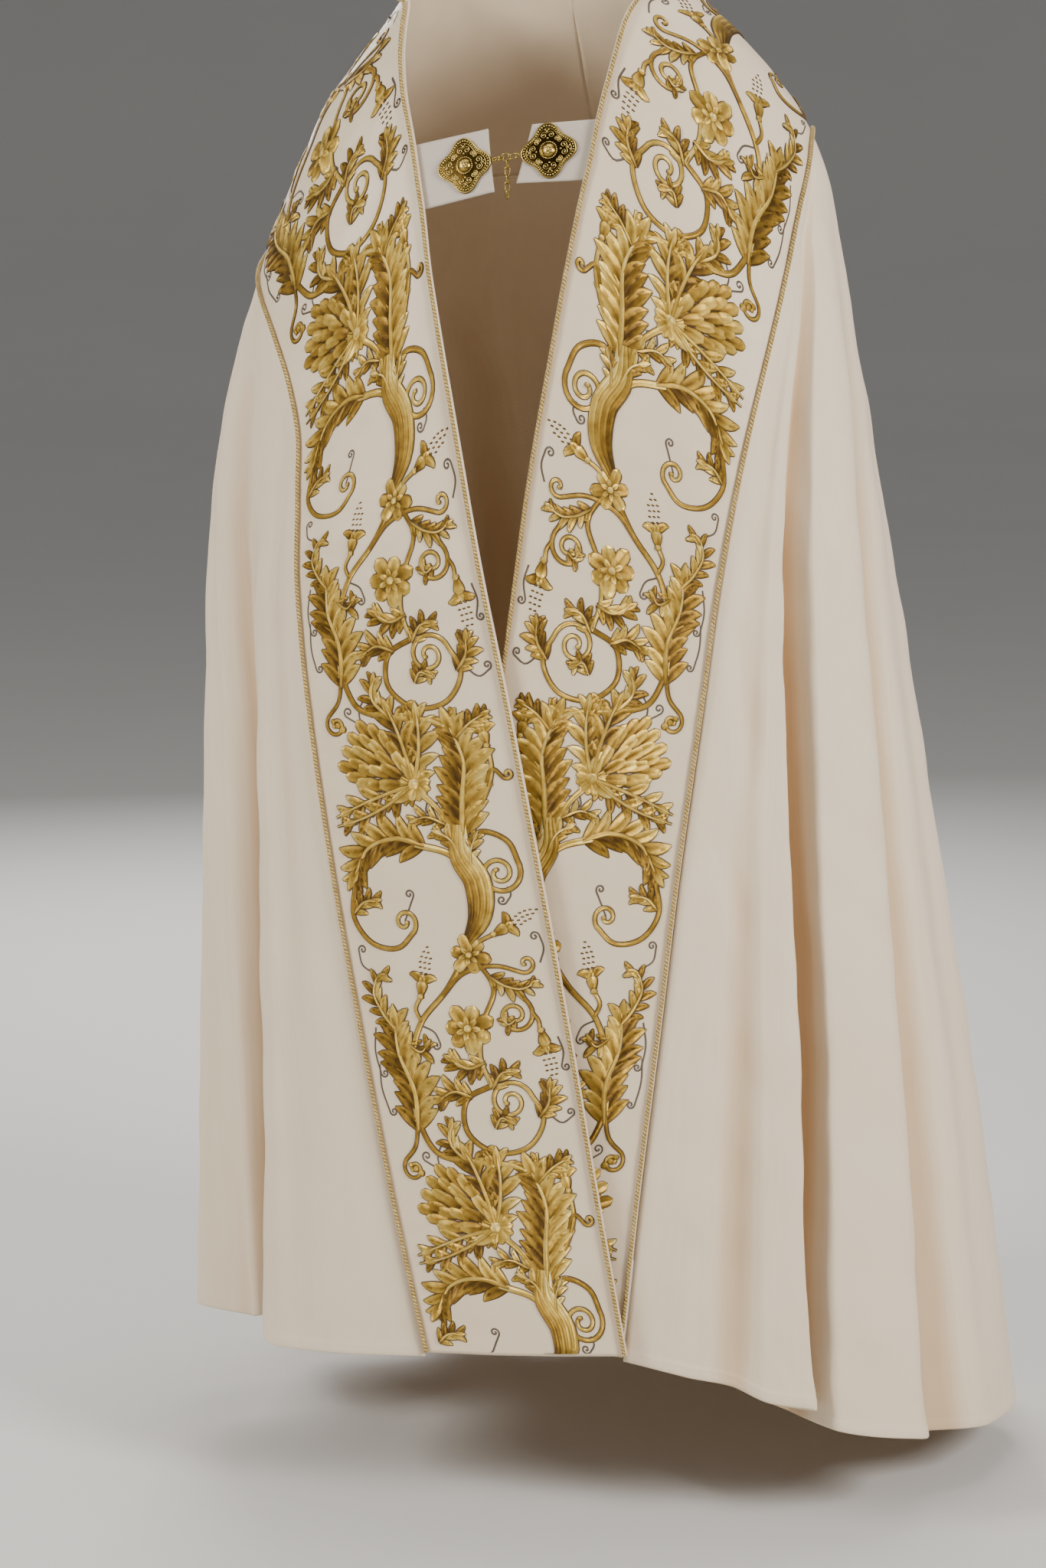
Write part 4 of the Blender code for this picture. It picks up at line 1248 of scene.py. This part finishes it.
def mix_colour(tree, share, first, second, blend="MIX"):
    node = tree.nodes.new("ShaderNodeMix")
    node.data_type = "RGBA"
    node.blend_type = blend
    for socket, value in zip((node.inputs[0], node.inputs[6], node.inputs[7]), (share, first, second)):
        if isinstance(value, (int, float)):
            socket.default_value = value
        elif isinstance(value, tuple):
            socket.default_value = (*value, 1.0)
        else:
            link(tree, value, socket)
    return node.outputs[2]


def weave_group():
    """A fine weave of two crossing threads, with slubs, as a height and a soft colour mask."""
    found = bpy.data.node_groups.get("weave")
    if found:
        return found
    inputs = [
        ("Pattern", "NodeSocketVector", None),
        ("Thread", "NodeSocketFloat", 1000.0),
        ("Slant", "NodeSocketFloat", 0.0),
    ]
    outputs = [("Height", "NodeSocketFloat"), ("Mask", "NodeSocketFloat")]
    group, given, out = new_group("weave", inputs, outputs)
    split = group.nodes.new("ShaderNodeSeparateXYZ")
    link(group, given.outputs["Pattern"], split.inputs[0])
    aslant = math_node(group, "MULTIPLY", split.outputs[1], given.outputs["Slant"])
    slanted = math_node(group, "ADD", split.outputs[0], aslant)
    warp = math_node(group, "SINE", math_node(group, "MULTIPLY", slanted, given.outputs["Thread"]))
    weft = math_node(group, "SINE", math_node(group, "MULTIPLY", split.outputs[1], given.outputs["Thread"]))
    threads = math_node(group, "MULTIPLY", math_node(group, "ADD", warp, weft), 0.25)
    slubs = noise(group, given.outputs["Pattern"], 260.0, 4.0)
    link(group, math_node(group, "ADD", threads, slubs), out.inputs["Height"])
    link(group, noise(group, given.outputs["Pattern"], 9.0, 5.0), out.inputs["Mask"])
    return group


def new_material(name):
    material = bpy.data.materials.new(name)
    material.use_nodes = True
    tree = material.node_tree
    return material, tree, tree.nodes["Principled BSDF"]


def bump(tree, height, distance, strength, shader):
    node = tree.nodes.new("ShaderNodeBump")
    node.inputs["Distance"].default_value = distance
    node.inputs["Strength"].default_value = strength
    link(tree, height, node.inputs["Height"])
    link(tree, node.outputs[0], shader.inputs["Normal"])
    return node


def place_group(tree, group, **values):
    node = tree.nodes.new("ShaderNodeGroup")
    node.node_tree = group
    for name, value in values.items():
        if isinstance(value, (int, float)):
            node.inputs[name].default_value = value
        else:
            link(tree, value, node.inputs[name])
    return node.outputs


def woven(name, low, high, roughness, sheen, thread, slant, relief):
    """A woven cloth, with its own two shades, roughness, sheen and thread, and painted warm shade in its
    valleys where the pattern's third value marks them.
    """
    found = bpy.data.materials.get(name)
    if found:
        return found
    material, tree, shader = new_material(name)
    vector, (_, _, valley) = pattern_of(tree)
    weave = place_group(tree, weave_group(), Pattern=vector, Thread=2 * math.pi / thread, Slant=slant)
    # Painted shade: the valleys and creases darkened towards a warm colour
    shade = math_node(tree, "MULTIPLY", math_node(tree, "MAXIMUM", valley, 0.0), VALLEY_SHADE_STRENGTH)
    colour = mix_colour(tree, weave["Mask"], low, high)
    link(tree, mix_colour(tree, shade, colour, VALLEY_SHADE_COLOUR, "MULTIPLY"), shader.inputs["Base Color"])
    rough = math_node(tree, "ADD", roughness - 0.05, math_node(tree, "MULTIPLY", weave["Mask"], 0.10))
    link(tree, rough, shader.inputs["Roughness"])
    shader.inputs["Sheen Weight"].default_value = sheen
    shader.inputs["Sheen Roughness"].default_value = 0.4
    shader.inputs["Specular IOR Level"].default_value = 0.35
    bump(tree, weave["Height"], relief, 0.5, shader)
    return material


def wool():
    return woven("fine_ivory_wool", *WOOL_SHADES, 0.60, 0.18, WOOL_THREAD, WOOL_SLANT, 0.00025)


def satin_cloth():
    return woven("ivory_satin_weave", *SATIN_SHADES, 0.40, 0.15, SATIN_THREAD, 0.0, 0.00010)


def tab_satin():
    return woven("greige_satin_weave", *TAB_SHADES, 0.42, 0.15, SATIN_THREAD, 0.0, 0.00012)


def thread_gold(name, stops, outline, metallic, rim_shade):
    """Satin-stitch gold: slanting threads, each shape's tone with its painted shade and highlight,
    painted shade near each shape's rim, a painted highlight on each stitch's crest, and a dark
    couched outline where the rim is nearer than the outline's width."""
    found = bpy.data.materials.get(name)
    if found:
        return found
    material, tree, shader = new_material(name)
    _, (rim, along, tone) = pattern_of(tree)
    slanted = math_node(tree, "ADD", along, math_node(tree, "MULTIPLY", rim, 0.5))
    threads = math_node(tree, "SINE", math_node(tree, "MULTIPLY", slanted, 2 * math.pi / STITCH_SPACING))
    coordinates = tree.nodes.new("ShaderNodeTexCoord").outputs["Object"]
    patches = math_node(tree, "SUBTRACT", noise(tree, coordinates, 90.0), 0.5)
    patches = math_node(tree, "MULTIPLY", patches, 0.6)
    shade = math_node(tree, "ADD", tone, patches)
    # Painted highlight: the colour follows the stitch ripple, lighter on each crest and darker in each hollow
    shade = math_node(tree, "ADD", shade, math_node(tree, "MULTIPLY", threads, 0.05))
    # Painted shade: each shape darker within a few millimetres of its rim
    middle = math_node(tree, "MINIMUM", math_node(tree, "DIVIDE", rim, RIM_SHADE_WIDTH), 1.0)
    near_rim = math_node(tree, "SUBTRACT", 1.0, middle)
    shade = math_node(tree, "SUBTRACT", shade, math_node(tree, "MULTIPLY", near_rim, rim_shade))
    edge = math_node(tree, "LESS_THAN", rim, outline)
    link(tree, mix_colour(tree, edge, ramp(tree, shade, stops), OUTLINE_COLOUR), shader.inputs["Base Color"])
    within = math_node(tree, "SUBTRACT", 1.0, edge)
    link(tree, math_node(tree, "MULTIPLY", within, metallic), shader.inputs["Metallic"])
    shader.inputs["Roughness"].default_value = 0.34
    bump(tree, threads, 0.00012, 0.7, shader)
    return material


def embroidery_gold():
    return thread_gold("embroidery_gold_thread", GOLD_STOPS, OUTLINE_WIDTH, 0.70, 0.36)


def cord_thread():
    return thread_gold("gold_cord_thread", CORD_STOPS, NO_OUTLINE, 0.50, 0.0)


def tendril_thread():
    return thread_gold("tendril_thread", TENDRIL_STOPS, NO_OUTLINE, 0.0, 0.0)


def filigree():
    """Antique gold metal, dark in its ground and bright on its wires."""
    found = bpy.data.materials.get("antique_gold_metal")
    if found:
        return found
    material, tree, shader = new_material("antique_gold_metal")
    _, (_, _, tone) = pattern_of(tree)
    coordinates = tree.nodes.new("ShaderNodeTexCoord").outputs["Object"]
    grime = noise(tree, coordinates, 420.0, 4.0)
    worn = math_node(tree, "MULTIPLY", grime, 0.2)
    shade = math_node(tree, "ADD", math_node(tree, "MULTIPLY", tone, 0.9), worn)
    link(tree, ramp(tree, shade, METAL_STOPS), shader.inputs["Base Color"])
    rough = math_node(tree, "ADD", 0.16, math_node(tree, "MULTIPLY", grime, 0.25))
    link(tree, rough, shader.inputs["Roughness"])
    shader.inputs["Metallic"].default_value = 1.0
    return material


def add_camera():
    """A view from the cope's left front, a little above the chest."""
    azimuth = math.radians(CAMERA_TURN)
    pitch = math.radians(CAMERA_PITCH)
    right = Vector((math.cos(azimuth), math.sin(azimuth), 0))
    ahead = Vector((-math.sin(azimuth), math.cos(azimuth), 0))
    up = Vector((0, 0, 1))
    look = ahead * math.cos(pitch) - up * math.sin(pitch)
    over = ahead * math.sin(pitch) + up * math.cos(pitch)
    camera = bpy.data.cameras.new("camera")
    camera.lens = CAMERA_LENS
    camera.sensor_width = 36.0
    view = bpy.data.objects.new("camera", camera)
    matrix = Matrix((right, over, -look)).transposed().to_4x4()
    matrix.translation = -ahead * CAMERA_DISTANCE + up * CAMERA_HEIGHT + right * CAMERA_SHIFT
    view.matrix_world = matrix
    bpy.context.scene.collection.objects.link(view)
    bpy.context.scene.camera = view


def add_stage():
    """A plain pale floor that sweeps up all round, soft studio light and a pale surround."""
    bm = bmesh.new()
    points = [bm.verts.new((out, 0, FLOOR_HEIGHT + rise)) for out, rise in zip(SWEEP["out"], SWEEP["rise"])]
    edges = [bm.edges.new(pair) for pair in zip(points, points[1:])]
    bmesh.ops.subdivide_edges(bm, edges=edges, cuts=3, smooth=1.0)
    bmesh.ops.spin(bm, geom=bm.verts[:] + bm.edges[:], cent=(0, 0, 0), axis=(0, 0, 1), angle=2 * math.pi,
                   steps=96, use_merge=True)
    middle = [edge for edge in bm.edges if edge.is_boundary and edge.calc_length() < 0.01]
    bmesh.ops.holes_fill(bm, edges=middle, sides=0)
    for face in bm.faces:
        face.smooth = True
        if face.normal.z < 0:
            face.normal_flip()
    mesh = bpy.data.meshes.new("floor")
    bm.to_mesh(mesh)
    bm.free()
    floor = bpy.data.objects.new("floor", mesh)
    bpy.context.scene.collection.objects.link(floor)
    material, tree, shader = new_material("pale_floor")
    coordinates = tree.nodes.new("ShaderNodeTexCoord").outputs["Object"]
    link(tree, mix_colour(tree, noise(tree, coordinates, 1.4), (0.62, 0.61, 0.595), (0.66, 0.65, 0.635)),
         shader.inputs["Base Color"])
    shader.inputs["Roughness"].default_value = 0.9
    mesh.materials.append(material)
    for name, spot, size, energy, colour in LIGHTS:
        light = bpy.data.lights.new(name, "AREA")
        light.size = size
        light.energy = energy
        light.color = colour
        lamp = bpy.data.objects.new(name, light)
        lamp.location = spot
        lamp.rotation_euler = (Vector(LIGHTS_AIM) - Vector(spot)).to_track_quat("-Z", "Y").to_euler()
        bpy.context.scene.collection.objects.link(lamp)
    world = bpy.data.worlds.new("surround")
    world.use_nodes = True
    world.node_tree.nodes["Background"].inputs["Color"].default_value = SURROUND_COLOUR
    world.node_tree.nodes["Background"].inputs["Strength"].default_value = SURROUND_STRENGTH
    bpy.context.scene.world = world


add_camera()
add_stage()
add_mantle()
right_band = Band("right", RIGHT_BAND, 1)
left_band = Band("left", LEFT_BAND, -1)
scrollwork = one_repeat()
thin_tendrils = tendrils()
for band in (right_band, left_band):
    cloth = add_band(band)
    gold = add_stitching(f"embroidery_{band.name}", band, scrollwork, embroidery_gold())
    dark = add_stitching(f"tendrils_{band.name}", band, thin_tendrils, tendril_thread())
    add_piping(band, "inner", PIPING_INSET)
    add_piping(band, "outer", BAND_WIDTH - PIPING_INSET)
add_tab("tab_right", RIGHT_TAB)
add_tab("tab_left", LEFT_TAB)
add_plate("plate_right", RIGHT_PLATE)
add_plate("plate_left", LEFT_PLATE)
add_chain()
